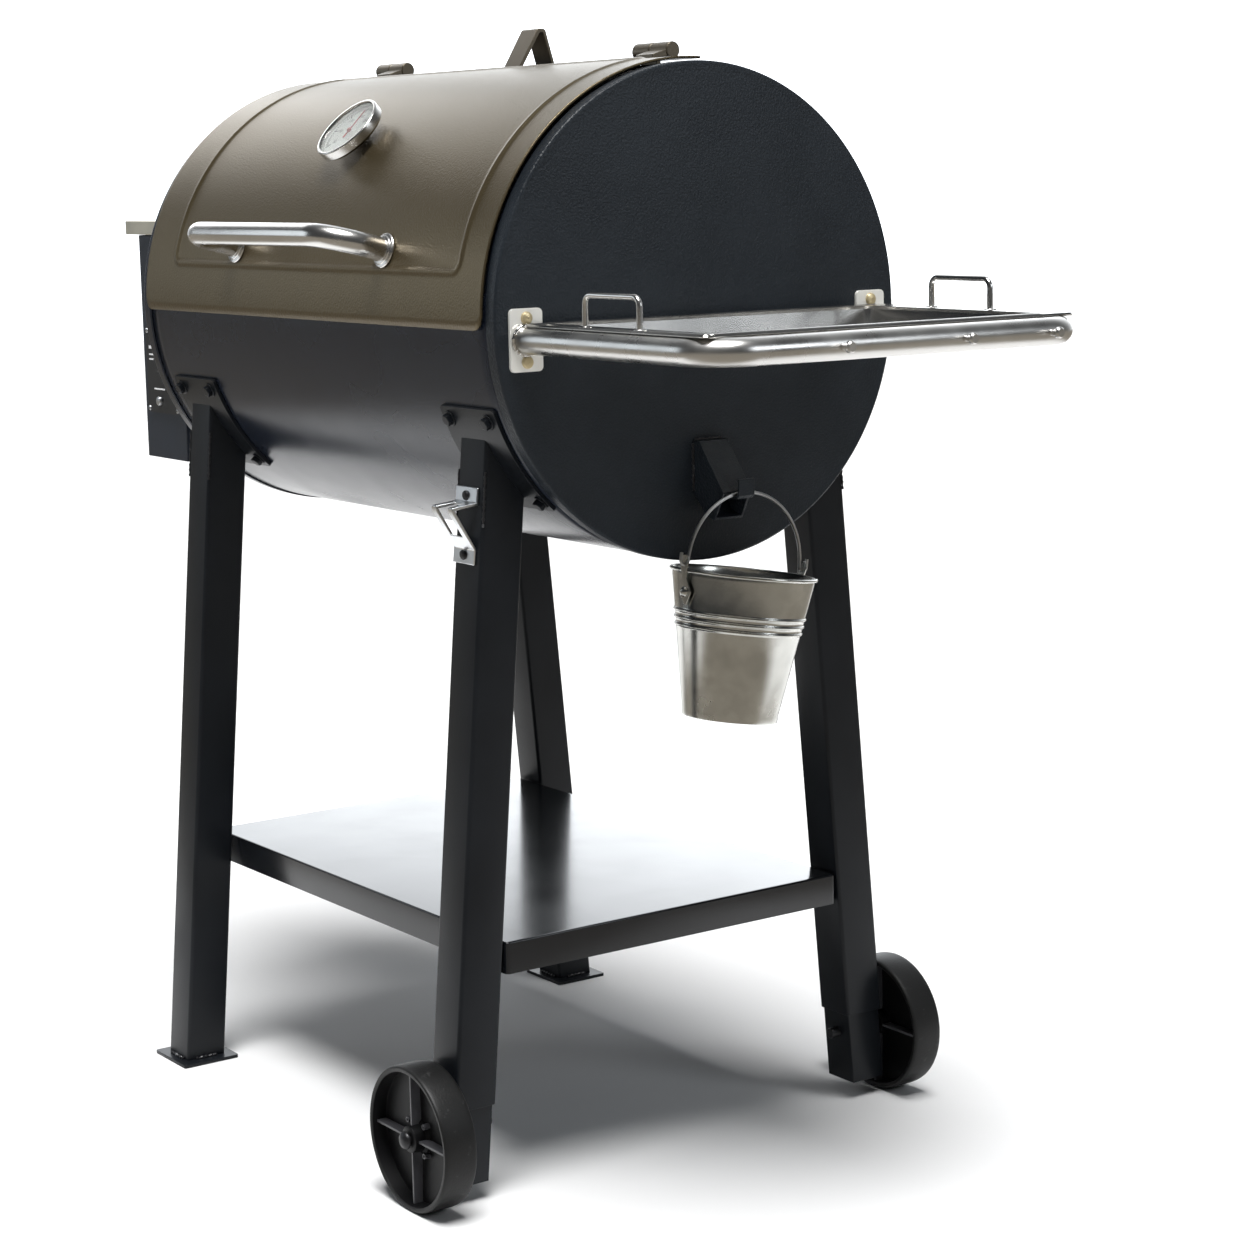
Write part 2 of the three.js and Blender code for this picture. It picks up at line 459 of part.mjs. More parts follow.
place('fire_pot', ENAMEL, cut(turned([[0, -222], [44, -222], [46, -220], [46, -118], [43, -118], [43, -219], [0, -219]],
  V3(0, 0, 0), V3(0, 0, 1), 28), rod(along(-60), along(-20), 24.8, 20),
rod(V3(-60, 0, -200), V3(-20, 0, -200), 5.6, 12)));
place('igniter_rod', STEEL, rod(V3(-120, 0, -200), V3(-38, 0, -200), 5, 10));

// ---------------------------------------------------------------- inside the barrel
place('heat_deflector', ENAMEL, extrude([[-95, -112], [-95, -108], [0, -88], [95, -108], [95, -112], [92, -112],
  [0, -91.5], [-92, -112]], -130, 130, 'x'));
place('drip_pan', ENAMEL, extrude([[-185, -52], [-185, -49], [-160, -62], [CHUTE.y, -78], [160, -62], [185, -49],
  [185, -52], [160, -65], [CHUTE.y, -81], [-160, -65]], -345, 345, 'x'));
for (const [name, sy] of [['front', -1], ['back', 1]]) {
  const wallY = sy * Math.sqrt((SHELL_R - SHELL_WALL - 1.2) ** 2 - 40 ** 2);
  const rail = [[wallY, -40], [wallY, -30], [wallY - sy * 20, -30], [wallY - sy * 20, -33], [wallY - sy * 3, -33],
    [wallY - sy * 3, -40]];
  place(`grate_ledge_${name}`, STEEL, extrude(sy > 0 ? rail.reverse() : rail, -360, 360, 'x'));
}
const grateY = 232;
place('cooking_grate', ENAMEL, cut(box(-340, 340, -grateY, grateY, GRATE_Z - 5, GRATE_Z),
  ...slots(-325, 325, -grateY + 14, -8, GRATE_Z - 9, GRATE_Z + 4, 38, 26),
  ...slots(-325, 325, 8, grateY - 14, GRATE_Z - 9, GRATE_Z + 4, 38, 26)));
place('warming_rack', STEEL, cut(join(box(-300, 300, 30, 190, 96, 100),
  box(-300, -294, 30, 60, GRATE_Z + GAP, 98), box(294, 300, 30, 60, GRATE_Z + GAP, 98),
  box(-300, -294, 160, 190, GRATE_Z + GAP, 98), box(294, 300, 160, 190, GRATE_Z + GAP, 98)),
...slots(-285, 285, 42, 178, 90, 105, 38, 26)));
place('temperature_probe', STEEL, join(rod(V3(-384, 60, 30), V3(-320, 60, 30), 3, 10),
  rod(V3(-384.2, 60, 30), V3(-380, 60, 30), 8, 6)));

export default group;
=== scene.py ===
"""The looks of a pellet smoker grill: a steel barrel on splayed legs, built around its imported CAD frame.

Every shape is drawn in millimetres about the barrel's own centre, +X towards the side rail and -Y
towards the cook, and `at` turns such a point into the frame's metres."""
import json
import math

import bmesh
import bpy
from mathutils import Matrix, Vector

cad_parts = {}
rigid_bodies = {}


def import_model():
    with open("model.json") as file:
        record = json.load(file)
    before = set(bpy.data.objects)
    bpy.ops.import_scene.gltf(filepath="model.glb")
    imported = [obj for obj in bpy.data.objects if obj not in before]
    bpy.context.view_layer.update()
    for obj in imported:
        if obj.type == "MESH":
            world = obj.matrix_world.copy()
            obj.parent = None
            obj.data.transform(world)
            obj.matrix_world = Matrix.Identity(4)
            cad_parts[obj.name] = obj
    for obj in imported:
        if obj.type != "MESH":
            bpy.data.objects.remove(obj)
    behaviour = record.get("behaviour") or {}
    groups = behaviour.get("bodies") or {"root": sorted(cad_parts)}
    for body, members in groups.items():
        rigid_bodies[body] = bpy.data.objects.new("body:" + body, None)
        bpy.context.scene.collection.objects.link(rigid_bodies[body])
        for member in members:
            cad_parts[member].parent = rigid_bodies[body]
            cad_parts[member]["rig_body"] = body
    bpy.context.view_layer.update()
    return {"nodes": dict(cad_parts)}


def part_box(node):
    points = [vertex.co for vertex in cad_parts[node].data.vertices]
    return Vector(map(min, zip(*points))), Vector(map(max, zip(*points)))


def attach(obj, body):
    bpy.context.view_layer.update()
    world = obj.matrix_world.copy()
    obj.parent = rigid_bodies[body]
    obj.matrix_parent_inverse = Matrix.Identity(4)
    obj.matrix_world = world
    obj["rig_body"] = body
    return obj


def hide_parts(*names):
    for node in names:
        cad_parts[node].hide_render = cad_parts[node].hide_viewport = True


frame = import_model()

# ---------------------------------------------------------------- driving dimensions, in millimetres
CAP_R = 254
HALF_LENGTH = 387
CAP_BAND = 17
SHELL_R = 252.2
SHELL_WALL = 2.5
LID = {"r": 259, "wall": 2.5, "half": 369.5, "front": -1.4, "rear": 93, "corner": 14}
PANEL = {"x0": -297, "x1": 325, "low": 11, "high": 85, "corner": 12}   # raised line pressed into the lid
HANDLE = {"x": 14, "half": 162, "deg": 15.4, "reach": 66, "r": 12.5, "bend": 42}
DIAL = {"x": 14, "deg": 45, "r": 41}
HINGE = {"y": 30, "z": 268, "r": 9, "xs": {"left": -262, "right": 270}}
LEG = {"x": 300.5, "half": 25, "out": 217.5, "splay": 0.087, "corner": 4, "wall": 2.5}
LEG_DEPTH = 2 * LEG["half"] * math.hypot(1, LEG["splay"])
SADDLE = {"r0": SHELL_R + 0.3, "r1": SHELL_R + 4.3, "top": -19.5, "low": -48.5, "x0": -41, "x1": 60}
GROUND = -910
FOOT = {"thick": 4, "x": 40, "y": 36}
TUBE_END = 102        # the right legs' outer tubes stop this far above the ground
SLEEVE_END = 20       # and the inner tubes stop here
WHEEL = {"r": 77, "inner": 294, "width": 38}
SHELF = {"x": 325.5, "y": 220.5, "z": -638.5, "lip": 34, "sheet": 2, "corner": 5}
RAIL = {"x": 697, "y": 222.5, "z": -16, "r": 13.5, "bend": 42, "pegs": (-85, 65, 176), "peg": 13}
TRAY = {"x0": 404, "x1": 668, "y": 205, "floor": -31, "rim": -2.2, "sheet": 1.5, "handle_x": 534}
CHUTE = {"y": 2, "half": 18.3, "top": -129, "low": -183}
HOOK = {"x": 441.8, "z": -179.6}
BUCKET = {"y": 5, "r": 74, "base": 48.5, "height": 150, "rim": -262, "pivot": 8, "lean": -8, "bail": 72.5}
HOPPER = {"y": 165, "knob": (-502, -80), "button": (-530, -131)}

MM = 0.001
corner_a, corner_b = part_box("barrel_shell")
BARREL = (corner_a + corner_b) / 2


def at(point):
    """A point in millimetres about the barrel's centre, as metres in the frame."""
    return Vector(point) * MM + BARREL


def around(r, deg, x=0.0):
    """A point on a circle about the barrel's axis; degrees run up from the front and over the top."""
    a = math.radians(deg)
    return Vector((x, -r * math.cos(a), r * math.sin(a)))


# ---------------------------------------------------------------- materials
def node(tree, kind, inputs=None, **settings):
    made = tree.nodes.new(kind)
    for key, value in settings.items():
        setattr(made, key, value)
    for key, value in (inputs or {}).items():
        if isinstance(value, bpy.types.NodeSocket):
            tree.links.new(value, made.inputs[key])
        else:
            made.inputs[key].default_value = value
    return made


def mixed(tree, factor, a, b):
    mix = node(tree, "ShaderNodeMix", {0: factor}, data_type="RGBA")
    for socket, value in ((mix.inputs[6], a), (mix.inputs[7], b)):
        if isinstance(value, bpy.types.NodeSocket):
            tree.links.new(value, socket)
        else:
            socket.default_value = (*value, 1)
    return mix.outputs[2]


def ranged(tree, value, low, high, start=0.3, end=0.7):
    return node(tree, "ShaderNodeMapRange", {"Value": value, "From Min": start, "From Max": end,
                                             "To Min": low, "To Max": high}).outputs["Result"]


def maths(tree, operation, *inputs):
    return node(tree, "ShaderNodeMath", dict(enumerate(inputs)), operation=operation).outputs["Value"]


def dot(tree, a, b):
    return node(tree, "ShaderNodeVectorMath", {0: a, 1: b}, operation="DOT_PRODUCT").outputs["Value"]


def noise(tree, coords, size, detail=2.0, rough=0.5):
    """Noise whose features are about `size` millimetres across."""
    return node(tree, "ShaderNodeTexNoise", {"Vector": coords, "Scale": 1000 / size, "Detail": detail,
                                             "Roughness": rough}).outputs["Fac"]


def finish(name, colour, rough, metallic=0.0, grain=2.0, depth=0.05, tint=0.12, spread=0.06, patch=90,
           stretch=(1, 1, 1), scuff=None, coat=0.0, spangle=0.0, specular=0.5):
    """A procedural surface. grain and depth are its texture's size and height in millimetres; tint and
    spread are how far colour and roughness wander over patches; scuff is (colour, amount) for rubbed
    spots; spangle is the size of crystals in millimetres."""
    material = bpy.data.materials.new(name)
    material.use_nodes = True
    tree = material.node_tree
    shader = tree.nodes["Principled BSDF"]
    where = node(tree, "ShaderNodeTexCoord").outputs["Object"]
    stretched = node(tree, "ShaderNodeMapping", {"Vector": where, "Scale": stretch}).outputs["Vector"]
    fine = noise(tree, stretched, grain)
    broad = noise(tree, where, patch, 4)
    dark = [c * (1 - tint) for c in colour]
    light = [min(1, c * (1 + tint)) for c in colour]
    paint = mixed(tree, ranged(tree, broad, 0, 1), dark, light)
    if spangle:
        cells = node(tree, "ShaderNodeTexVoronoi", {"Vector": where, "Scale": 1000 / spangle})
        grey = node(tree, "ShaderNodeSeparateColor", {"Color": cells.outputs["Color"]}).outputs[0]
        paint = mixed(tree, ranged(tree, grey, 0, 0.35, 0, 1), paint, [c * 0.72 for c in colour])
    if scuff:
        spots = noise(tree, where, 14, 6, 0.75)
        amount = ranged(tree, spots, 0, 1, 1 - scuff[1], 1.02 - scuff[1] * 0.6)
        paint = mixed(tree, amount, paint, scuff[0])
    tree.links.new(paint, shader.inputs["Base Color"])
    wander = ranged(tree, broad, rough - spread, rough + spread)
    tree.links.new(wander, shader.inputs["Roughness"])
    shader.inputs["Metallic"].default_value = metallic
    shader.inputs["Coat Weight"].default_value = coat
    shader.inputs["Coat Roughness"].default_value = 0.12
    shader.inputs["Specular IOR Level"].default_value = specular
    bump = node(tree, "ShaderNodeBump", {"Height": fine, "Distance": depth * MM, "Strength": 1.0})
    tree.links.new(bump.outputs["Normal"], shader.inputs["Normal"])
    return material


CHIP = (0.32, 0.33, 0.34)
POWDER = finish("black_powder_coat", (0.015, 0.019, 0.024), 0.36, grain=2.4, depth=0.8, spread=0.04,
                specular=0.24)
LEG_BLACK = finish("semi_gloss_black", (0.008, 0.0095, 0.012), 0.36, grain=3.2, depth=0.05,
                   scuff=(CHIP, 0.23), specular=0.22)
SHELF_BLACK = finish("gloss_black", (0.006, 0.007, 0.009), 0.2, grain=2.6, depth=0.025, spread=0.03, coat=0.3,
                     specular=0.4)
SATIN = finish("satin_blue_black", (0.009, 0.012, 0.02), 0.26, grain=1.9, depth=0.06, patch=160, specular=0.4)
BRONZE = finish("hammertone_bronze", (0.115, 0.09, 0.05), 0.34, 0.7, tint=0.06, spread=0.02, grain=2.2,
                depth=0.4, patch=300)
DARK_BRONZE = finish("dark_bronze", (0.13, 0.11, 0.08), 0.36, 0.6, grain=2.0, depth=0.08)
GREY = finish("dark_grey_satin", (0.02, 0.025, 0.035), 0.42, grain=2.2, depth=0.08, specular=0.3)
HOPPER_TOP = finish("pale_bronze", (0.5, 0.47, 0.39), 0.38, 0.7, grain=2.0, depth=0.08)
STAINLESS = finish("polished_stainless", (0.68, 0.67, 0.65), 0.23, 1.0, grain=1.2, depth=0.012,
                   tint=0.06, spread=0.05, stretch=(14, 1, 1))
RAIL_STEEL = finish("ground_stainless", (0.64, 0.63, 0.61), 0.3, 1.0, grain=1.2, depth=0.02,
                    tint=0.08, spread=0.07, patch=60, stretch=(1, 0.12, 14))
PLATE = finish("zinc_plate", (0.86, 0.85, 0.8), 0.34, 0.25, grain=1.0, depth=0.02)
YELLOW_ZINC = finish("yellow_zinc", (0.6, 0.5, 0.3), 0.32, 0.5, grain=1.0, depth=0.03)
GALVANISED = finish("galvanised", (0.62, 0.62, 0.59), 0.23, 1.0, grain=2.0, depth=0.02, tint=0.2,
                    spread=0.06, patch=40, spangle=9)
BRIGHT_ZINC = finish("bright_zinc", (0.74, 0.76, 0.78), 0.26, 1.0, grain=1.4, depth=0.02)
STEEL = finish("plain_steel", (0.5, 0.51, 0.52), 0.36, 1.0, grain=1.0, depth=0.03, stretch=(8, 1, 1))
ENAMEL = finish("black_enamel", (0.012, 0.012, 0.013), 0.22, grain=5.0, depth=0.06, coat=0.5)
PLASTIC = finish("black_plastic", (0.011, 0.011, 0.012), 0.45, grain=0.9, depth=0.03)
WHEEL_BLACK = finish("wheel_plastic", (0.004, 0.004, 0.0045), 0.45, grain=1.5, depth=0.05, specular=0.2)
TREAD = finish("worn_tread", (0.006, 0.006, 0.006), 0.5, grain=2.2, depth=0.2,
               scuff=((0.05, 0.05, 0.05), 0.4), specular=0.3)
# The wheel's ribs and bosses: the same black plastic, painted a lighter grey as a painted highlight on their
# raised edges.
RIB_HIGHLIGHT = finish("rib_painted_highlight", (0.06, 0.06, 0.065), 0.4, grain=1.5, depth=0.05, tint=0.4)
BLACK_OXIDE = finish("black_oxide", (0.02, 0.02, 0.022), 0.38, 0.5, grain=1.2, depth=0.03)
WELD = finish("painted_weld", (0.014, 0.014, 0.016), 0.32, grain=3.0, depth=0.4, scuff=(CHIP, 0.4))
DIAL_WHITE = finish("dial_white", (0.5, 0.53, 0.49), 0.4, grain=0.8, depth=0.01, tint=0.03)
# Black print on the dial, and painted shade in the screw heads' crosses.
PRINT_AND_SHADE = finish("black_print_and_painted_shade", (0.02, 0.02, 0.022), 0.5, grain=0.8, depth=0.01)
WHITE_PRINT = finish("print_white", (0.8, 0.8, 0.8), 0.5, grain=0.8, depth=0.01)
RED = finish("pointer_red", (0.3, 0.03, 0.02), 0.4, grain=1.0, depth=0.01)
GLASS = finish("clear_glass", (1, 1, 1), 0.03, grain=3.0, depth=0.002, tint=0, spread=0.01)
GLASS.node_tree.nodes["Principled BSDF"].inputs["Transmission Weight"].default_value = 1.0
GLASS.node_tree.nodes["Principled BSDF"].inputs["IOR"].default_value = 1.1


# ---------------------------------------------------------------- shapes
def swung(centre, a, b, steps):
    """Points on the arc about a centre from arm a to arm b, which are equally long."""
    angle = a.angle(b)
    shares = [(math.sin(angle * (1 - k / steps)), math.sin(angle * k / steps)) for k in range(steps + 1)]
    return [centre + (a * s + b * t) / math.sin(angle) for s, t in shares]


def rounded(outline, radius, steps=5):
    """The outline with each corner turned into an arc; radius is one number or one for each corner."""
    radii = radius if isinstance(radius, (list, tuple)) else [radius] * len(outline)
    out = []
    count = len(outline)
    for i, (corner, r) in enumerate(zip(outline, radii)):
        p, q, s = Vector(outline[i - 1]), Vector(corner), Vector(outline[(i + 1) % count])
        u, w = (p - q).normalized(), (s - q).normalized()
        half = u.angle(w) / 2
        if r <= 0 or half > math.radians(89):
            out.append(q)
            continue
        reach = min(r / math.tan(half), (p - q).length * 0.49, (s - q).length * 0.49)
        centre = q + (u + w).normalized() * (reach / math.cos(half))
        a, b = q + u * reach - centre, q + w * reach - centre
        out += swung(centre, a, b, steps)
    return out


def filleted(points, radius, steps=10):
    """An open path in space with its inner corners turned into arcs."""
    out = [Vector(points[0])]
    for p, q, s in zip(points, points[1:], points[2:]):
        q = Vector(q)
        u, w = (Vector(p) - q).normalized(), (Vector(s) - q).normalized()
        half = u.angle(w) / 2
        reach = radius / math.tan(half)
        centre = q + (u + w).normalized() * (radius / math.sin(half))
        a, b = q + u * reach - centre, q + w * reach - centre
        out += swung(centre, a, b, steps)
    return [*out, Vector(points[-1])]


def rectangle(x0, x1, y0, y1, radius, steps=5):
    return rounded([Vector(p) for p in ((x0, y0), (x1, y0), (x1, y1), (x0, y1))], radius, steps)


def basis(direction):
    """A direction's unit vector, and two more that are square to it and to each other."""
    d = Vector(direction).normalized()
    u = d.orthogonal().normalized()
    return d, u, d.cross(u)


class Shape:
    """Faces gathered into one mesh. `paint` picks which of the piece's materials a face takes."""

    def __init__(self):
        self.verts, self.faces, self.paints = [], [], []
        self.move = Matrix.Identity(4)

    def add(self, verts, faces, paint=0):
        start = len(self.verts)
        self.verts += [self.move @ Vector(v) for v in verts]
        self.faces += [[start + i for i in face] for face in faces]
        self.paints += [paint] * len(faces)
        return self

    def loft(self, loops, paint=0, caps=(True, True)):
        """Skins a row of loops that have the same number of points, and caps its first and last loop."""
        n, verts, faces = len(loops[0]), [p for loop in loops for p in loop], []
        last = (len(loops) - 1) * n
        for a in range(0, last, n):
            b = a + n
            faces += [[a + i, a + (i + 1) % n, b + (i + 1) % n, b + i] for i in range(n)]
        if caps[0]:
            faces.append(list(range(n))[::-1])
        if caps[1]:
            faces.append([last + i for i in range(n)])
        return self.add(verts, faces, paint)

    def lathe(self, profile, base, direction, sides=48, paint=0):
        """Turns a profile of (radius, height) points about a line; radius 0 closes it on the axis."""
        d, u, w = basis(direction)
        verts, rings = [], []
        for r, h in profile:
            count = sides if r > 1e-6 else 1
            rings.append([len(verts) + (i if count > 1 else 0) for i in range(sides)])
            for i in range(count):
                t = 2 * math.pi * i / sides
                verts.append(Vector(base) + d * h + (u * math.cos(t) + w * math.sin(t)) * r)
        faces = []
        for a, b in zip(rings, rings[1:]):
            for i in range(sides):
                k = (i + 1) % sides
                quad = [a[i], a[k], b[k], b[i]]
                face = [v for m, v in enumerate(quad) if v != quad[m - 1]]
                if len(face) > 2:
                    faces.append(face)
        return self.add(verts, faces, paint)

    def tube(self, path, r, sides=24, paint=0, lump=None):
        """A round bar along a path. `lump` gives the radius at each point, for a weld bead."""
        points = [Vector(p) for p in path]
        tangent = (points[1] - points[0]).normalized()
        side = tangent.orthogonal().normalized()
        loops = []
        for i, p in enumerate(points):
            ahead = (points[min(i + 1, len(points) - 1)] - points[max(i - 1, 0)]).normalized()
            side = tangent.rotation_difference(ahead) @ side
            side = (side - ahead * side.dot(ahead)).normalized()
            tangent, up = ahead, ahead.cross(side)
            radius = lump[i] if lump else r
            turns = [2 * math.pi * k / sides for k in range(sides)]
            loops.append([p + (side * math.cos(t) + up * math.sin(t)) * radius for t in turns])
        return self.loft(loops, paint)

    def prism(self, outline, start, end, axis, paint=0):
        """An outline of (u, v) pushed along x (as y, z), y (as x, z) or z (as x, y)."""
        order = {"x": (2, 0, 1), "y": (0, 2, 1), "z": (0, 1, 2)}[axis]
        loops = [[[(p[0], p[1], h)[i] for i in order] for p in outline] for h in (start, end)]
        return self.loft(loops, paint)

    def block(self, x0, x1, y0, y1, z0, z1, radius=0.8, paint=0):
        return self.prism(rectangle(x0, x1, y0, y1, radius, 3), z0, z1, "z", paint)

    def bolt(self, place, direction, across, head, washer):
        """A hex head with a chamfered top, on a washer."""
        d, u, w = basis(direction)
        self.lathe([(0, 0), (washer, 0), (washer, 1), (washer - 0.5, 1.5), (0, 1.5)], place, d, 28)
        low = Vector(place) + d * 1.4
        top = head - across * 0.1

        def ring(r, h):
            turns = [math.pi * k / 3 for k in range(6)]
            return [low + d * h + (u * math.cos(t) + w * math.sin(t)) * r for t in turns]

        return self.loft([ring(across, 0), ring(across, top), ring(across * 0.86, head)])

    def screw(self, place, direction, r=5.5, rise=3, paint=0):
        """A pan head with a cross in its second material. The cross stands on the head, so a dark second
        material there is painted shade in place of the cross recess.
        """
        d, u, w = basis(direction)
        self.lathe([(0, 0), (r, 0), (r, rise * 0.4), (r * 0.85, rise * 0.8), (r * 0.5, rise), (0, rise)],
                   place, d, 24, paint)
        # The cross in the second material: painted shade where that material is dark.
        for a, b in ((u, w), (w, u)):
            low = Vector(place) + d * (rise - 0.2)
            loops = [[low + d * h + a * (r * 0.5 * sa) + b * (r * 0.12 * sb)
                      for sa, sb in ((-1, -1), (1, -1), (1, 1), (-1, 1))] for h in (0, 0.35)]
            self.loft(loops, 1)
        return self

    def bead(self, start, end, r=2.6, paint=0):
        """A lumpy weld bead from start to end."""
        start, end = Vector(start), Vector(end)
        steps = max(6, int((end - start).length / 2))
        path = [start.lerp(end, k / steps) for k in range(steps + 1)]
        lump = [r * (0.75 + 0.25 * math.sin(2.1 * k) + 0.12 * math.sin(5.3 * k)) for k in range(steps + 1)]
        return self.tube(path, r, 10, paint, lump)

    def made(self, name, body, slot, *materials, replaces=(), bevel=0.5, smooth=38, thick=0.0):
        """Turns the faces into a piece that rides on a body."""
        mesh = bpy.data.meshes.new(name)
        mesh.from_pydata([at(v) for v in self.verts], [], self.faces)
        mesh.polygons.foreach_set("material_index", self.paints)
        obj = bpy.data.objects.new(name, mesh)
        for material in materials:
            mesh.materials.append(material)
        return dress(obj, body, replaces, bevel, smooth, thick)


def dress(obj, body, replaces, bevel, smooth, thick=0.0):
    """Cleans the mesh, rounds its sharp edges and hands it to the frame."""
    bpy.context.scene.collection.objects.link(obj)
    bm = bmesh.new()
    bm.from_mesh(obj.data)
    bmesh.ops.remove_doubles(bm, verts=bm.verts, dist=1e-6)
    bmesh.ops.recalc_face_normals(bm, faces=bm.faces)
    bm.to_mesh(obj.data)
    bm.free()
    if thick:
        wall = obj.modifiers.new("wall", "SOLIDIFY")
        wall.thickness = thick * MM
        wall.offset = -1
    if bevel:
        edge = obj.modifiers.new("edge", "BEVEL")
        edge.width = bevel * MM
        edge.segments = 2
        edge.limit_method = "ANGLE"
        edge.angle_limit = math.radians(smooth)
    obj.data.polygons.foreach_set("use_smooth", [True] * len(obj.data.polygons))
    obj.data.set_sharp_from_angle(angle=math.radians(smooth))
    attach(obj, body)
    if replaces:
        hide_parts(*replaces)
    return obj


def refined(name, material, bevel):
    """A finished copy of a CAD node: coplanar faces joined, edges rounded, round faces smoothed."""
    obj = bpy.data.objects.new(f"{name}_finished", frame["nodes"][name].data.copy())
    obj.data.materials.clear()
    obj.data.materials.append(material)
    bm = bmesh.new()
    bm.from_mesh(obj.data)
    bmesh.ops.remove_doubles(bm, verts=bm.verts, dist=1e-6)
    bmesh.ops.dissolve_limit(bm, angle_limit=math.radians(0.6), verts=bm.verts, edges=bm.edges)
    bm.to_mesh(obj.data)
    bm.free()
    for custom in [a for a in obj.data.attributes if a.name == "custom_normal"]:
        obj.data.attributes.remove(custom)
    return dress(obj, frame["nodes"][name]["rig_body"], [name], bevel, smooth=35)


# ---------------------------------------------------------------- barrel and end caps
def barrel():
    """The rolled shell, with the cooking opening under the lid."""
    low, high, opening_half = 5, 86, 352
    degs = [low + (high - low) * k / 36 for k in range(37)]
    degs += [high + (360 - high + low) * k / 140 for k in range(1, 140)]
    half = HALF_LENGTH - 2.8
    xs = [-half, -opening_half, 0, opening_half, half]
    shape = Shape()
    verts = [around(SHELL_R, d, x) for x in xs for d in degs]
    n = len(degs)
    faces = []
    for j in range(len(xs) - 1):
        for i in range(n):
            under_lid = i < 36 and j in (1, 2)
            if not under_lid:
                faces.append([j * n + i, j * n + (i + 1) % n, (j + 1) * n + (i + 1) % n, (j + 1) * n + i])
    shape.add(verts, faces).made("barrel_skin", "frame", "blue_black_paint", SATIN,
                                 replaces=["barrel_shell"], bevel=0, smooth=50, thick=SHELL_WALL)
    seam = Shape().prism(rectangle(-SHELL_R - 0.6, -SHELL_R + 1, -3, 3, 0.5, 2), -370, 370, "z")
    seam.verts = [around(-v.x, 231 + v.y * 0.1, v.z) for v in seam.verts]     # wrapped round the shell
    seam.made("barrel_seam_weld", "frame", "blue_black_paint", SATIN, bevel=0)


def end_cap(side, name, slot, material):
    """A pressed disc with a rolled edge and a flange over the shell."""
    roll = [(CAP_R - 3 + 3 * math.sin(t), -3 + 3 * math.cos(t)) for t in (math.pi / 16 * k for k in range(9))]
    profile = [(0, 0), (CAP_R - 12, 0), (CAP_R - 6, -0.3), *roll, (CAP_R, -CAP_BAND + 2.4),
               (CAP_R - 0.7, -CAP_BAND + 1.6), (CAP_R - 0.7, -CAP_BAND), (CAP_R - 1.5, -CAP_BAND),
               (CAP_R - 1.5, -2.5), (0, -2.5)]
    Shape().lathe(profile, (side * HALF_LENGTH, 0, 0), (side, 0, 0), 180).made(
        f"{name}_pressing", "frame", slot, material, replaces=[name], bevel=0, smooth=30)


# ---------------------------------------------------------------- lid
def spread(marks, low, high, coarse, fine, before, after):
    """Grid lines from low to high: coarse, but fine from `before` to `after` a mark (sign, place)."""
    dense = [(min(m - s * before, m + s * after), max(m - s * before, m + s * after)) for s, m in marks]
    out, here = [low], low
    while here < high - 1e-6:
        step = fine if any(a - 1e-6 <= here < b for a, b in dense) else coarse
        nearest = [a for a, _ in dense if a > here + 1e-6]
        here = min([here + step, high, *nearest])
        out.append(here)
    return out


def lid_skin():
    """The rolled lid sheet, with its pressed panel line and rounded lower corners."""
    r = LID["r"]
    arc = math.radians(1) * r                     # millimetres round the lid for one degree
    xs = spread([(1, PANEL["x0"]), (-1, PANEL["x1"])], -LID["half"], LID["half"], 24, 1.7, 9, 20)
    ends = [c for k in range(1, 8) for c in (LID["half"] - 2 * k, 2 * k - LID["half"])]
    xs = sorted(set(xs + ends))
    degs = spread([(1, PANEL["low"]), (-1, PANEL["high"])], LID["front"], LID["rear"], 2.2, 1.7 / arc,
                  9 / arc, 20 / arc)
    mid = ((PANEL["x0"] + PANEL["x1"]) / 2, (PANEL["low"] + PANEL["high"]) / 2 * arc)
    half = ((PANEL["x1"] - PANEL["x0"]) / 2, (PANEL["high"] - PANEL["low"]) / 2 * arc)

    def height(x, deg):
        """How far the pressed line stands out at a place on the lid."""
        c = PANEL["corner"]
        qx, qy = abs(x - mid[0]) - half[0] + c, abs(deg * arc - mid[1]) - half[1] + c
        away = math.hypot(max(qx, 0), max(qy, 0)) + min(max(qx, qy), 0) - c
        return 1.9 * math.exp(-(away / 3.1) ** 2)

    verts = []
    for x in xs:
        c = LID["corner"]
        over = max(0.0, abs(x) - LID["half"] + c)
        lift = (c - math.sqrt(max(0.0, c * c - over * over))) / arc
        for deg in degs:
            fade = max(0.0, 1 - (deg - LID["front"]) * arc / 60)
            at_deg = deg + lift * fade
            verts.append(around(r + height(x, at_deg), at_deg, x))
    n = len(degs)
    faces = [[j * n + i, j * n + i + 1, (j + 1) * n + i + 1, (j + 1) * n + i]
             for j in range(len(xs) - 1) for i in range(n - 1)]
    Shape().add(verts, faces).made("lid_sheet", "lid", "bronze_paint", BRONZE, replaces=["lid"],
                                   bevel=0, smooth=50, thick=LID["wall"])


def on_lid(x, deg, out):
    return around(LID["r"] + out, deg, x)


def lid_handle():
    h = HANDLE
    r, deg, left, right = h["r"], h["deg"], h["x"] - h["half"], h["x"] + h["half"]
    path = filleted([on_lid(left, deg, 1), on_lid(left, deg, h["reach"]), on_lid(right, deg, h["reach"]),
                     on_lid(right, deg, 1)], h["bend"], 14)
    shape = Shape().tube(path, r, 40)
    for x in (left, right):
        shape.lathe([(r - 1, 0), (18, 0), (18.4, 1.2), (17.6, 2.6), (15.2, 3.2), (14.6, 4.6), (r - 1, 5.4)],
                    on_lid(x, deg, 0.3), around(1, deg), 40)
    shape.made("lid_handle_tube", "lid", "stainless", STAINLESS, replaces=["lid_handle"], bevel=0.2)


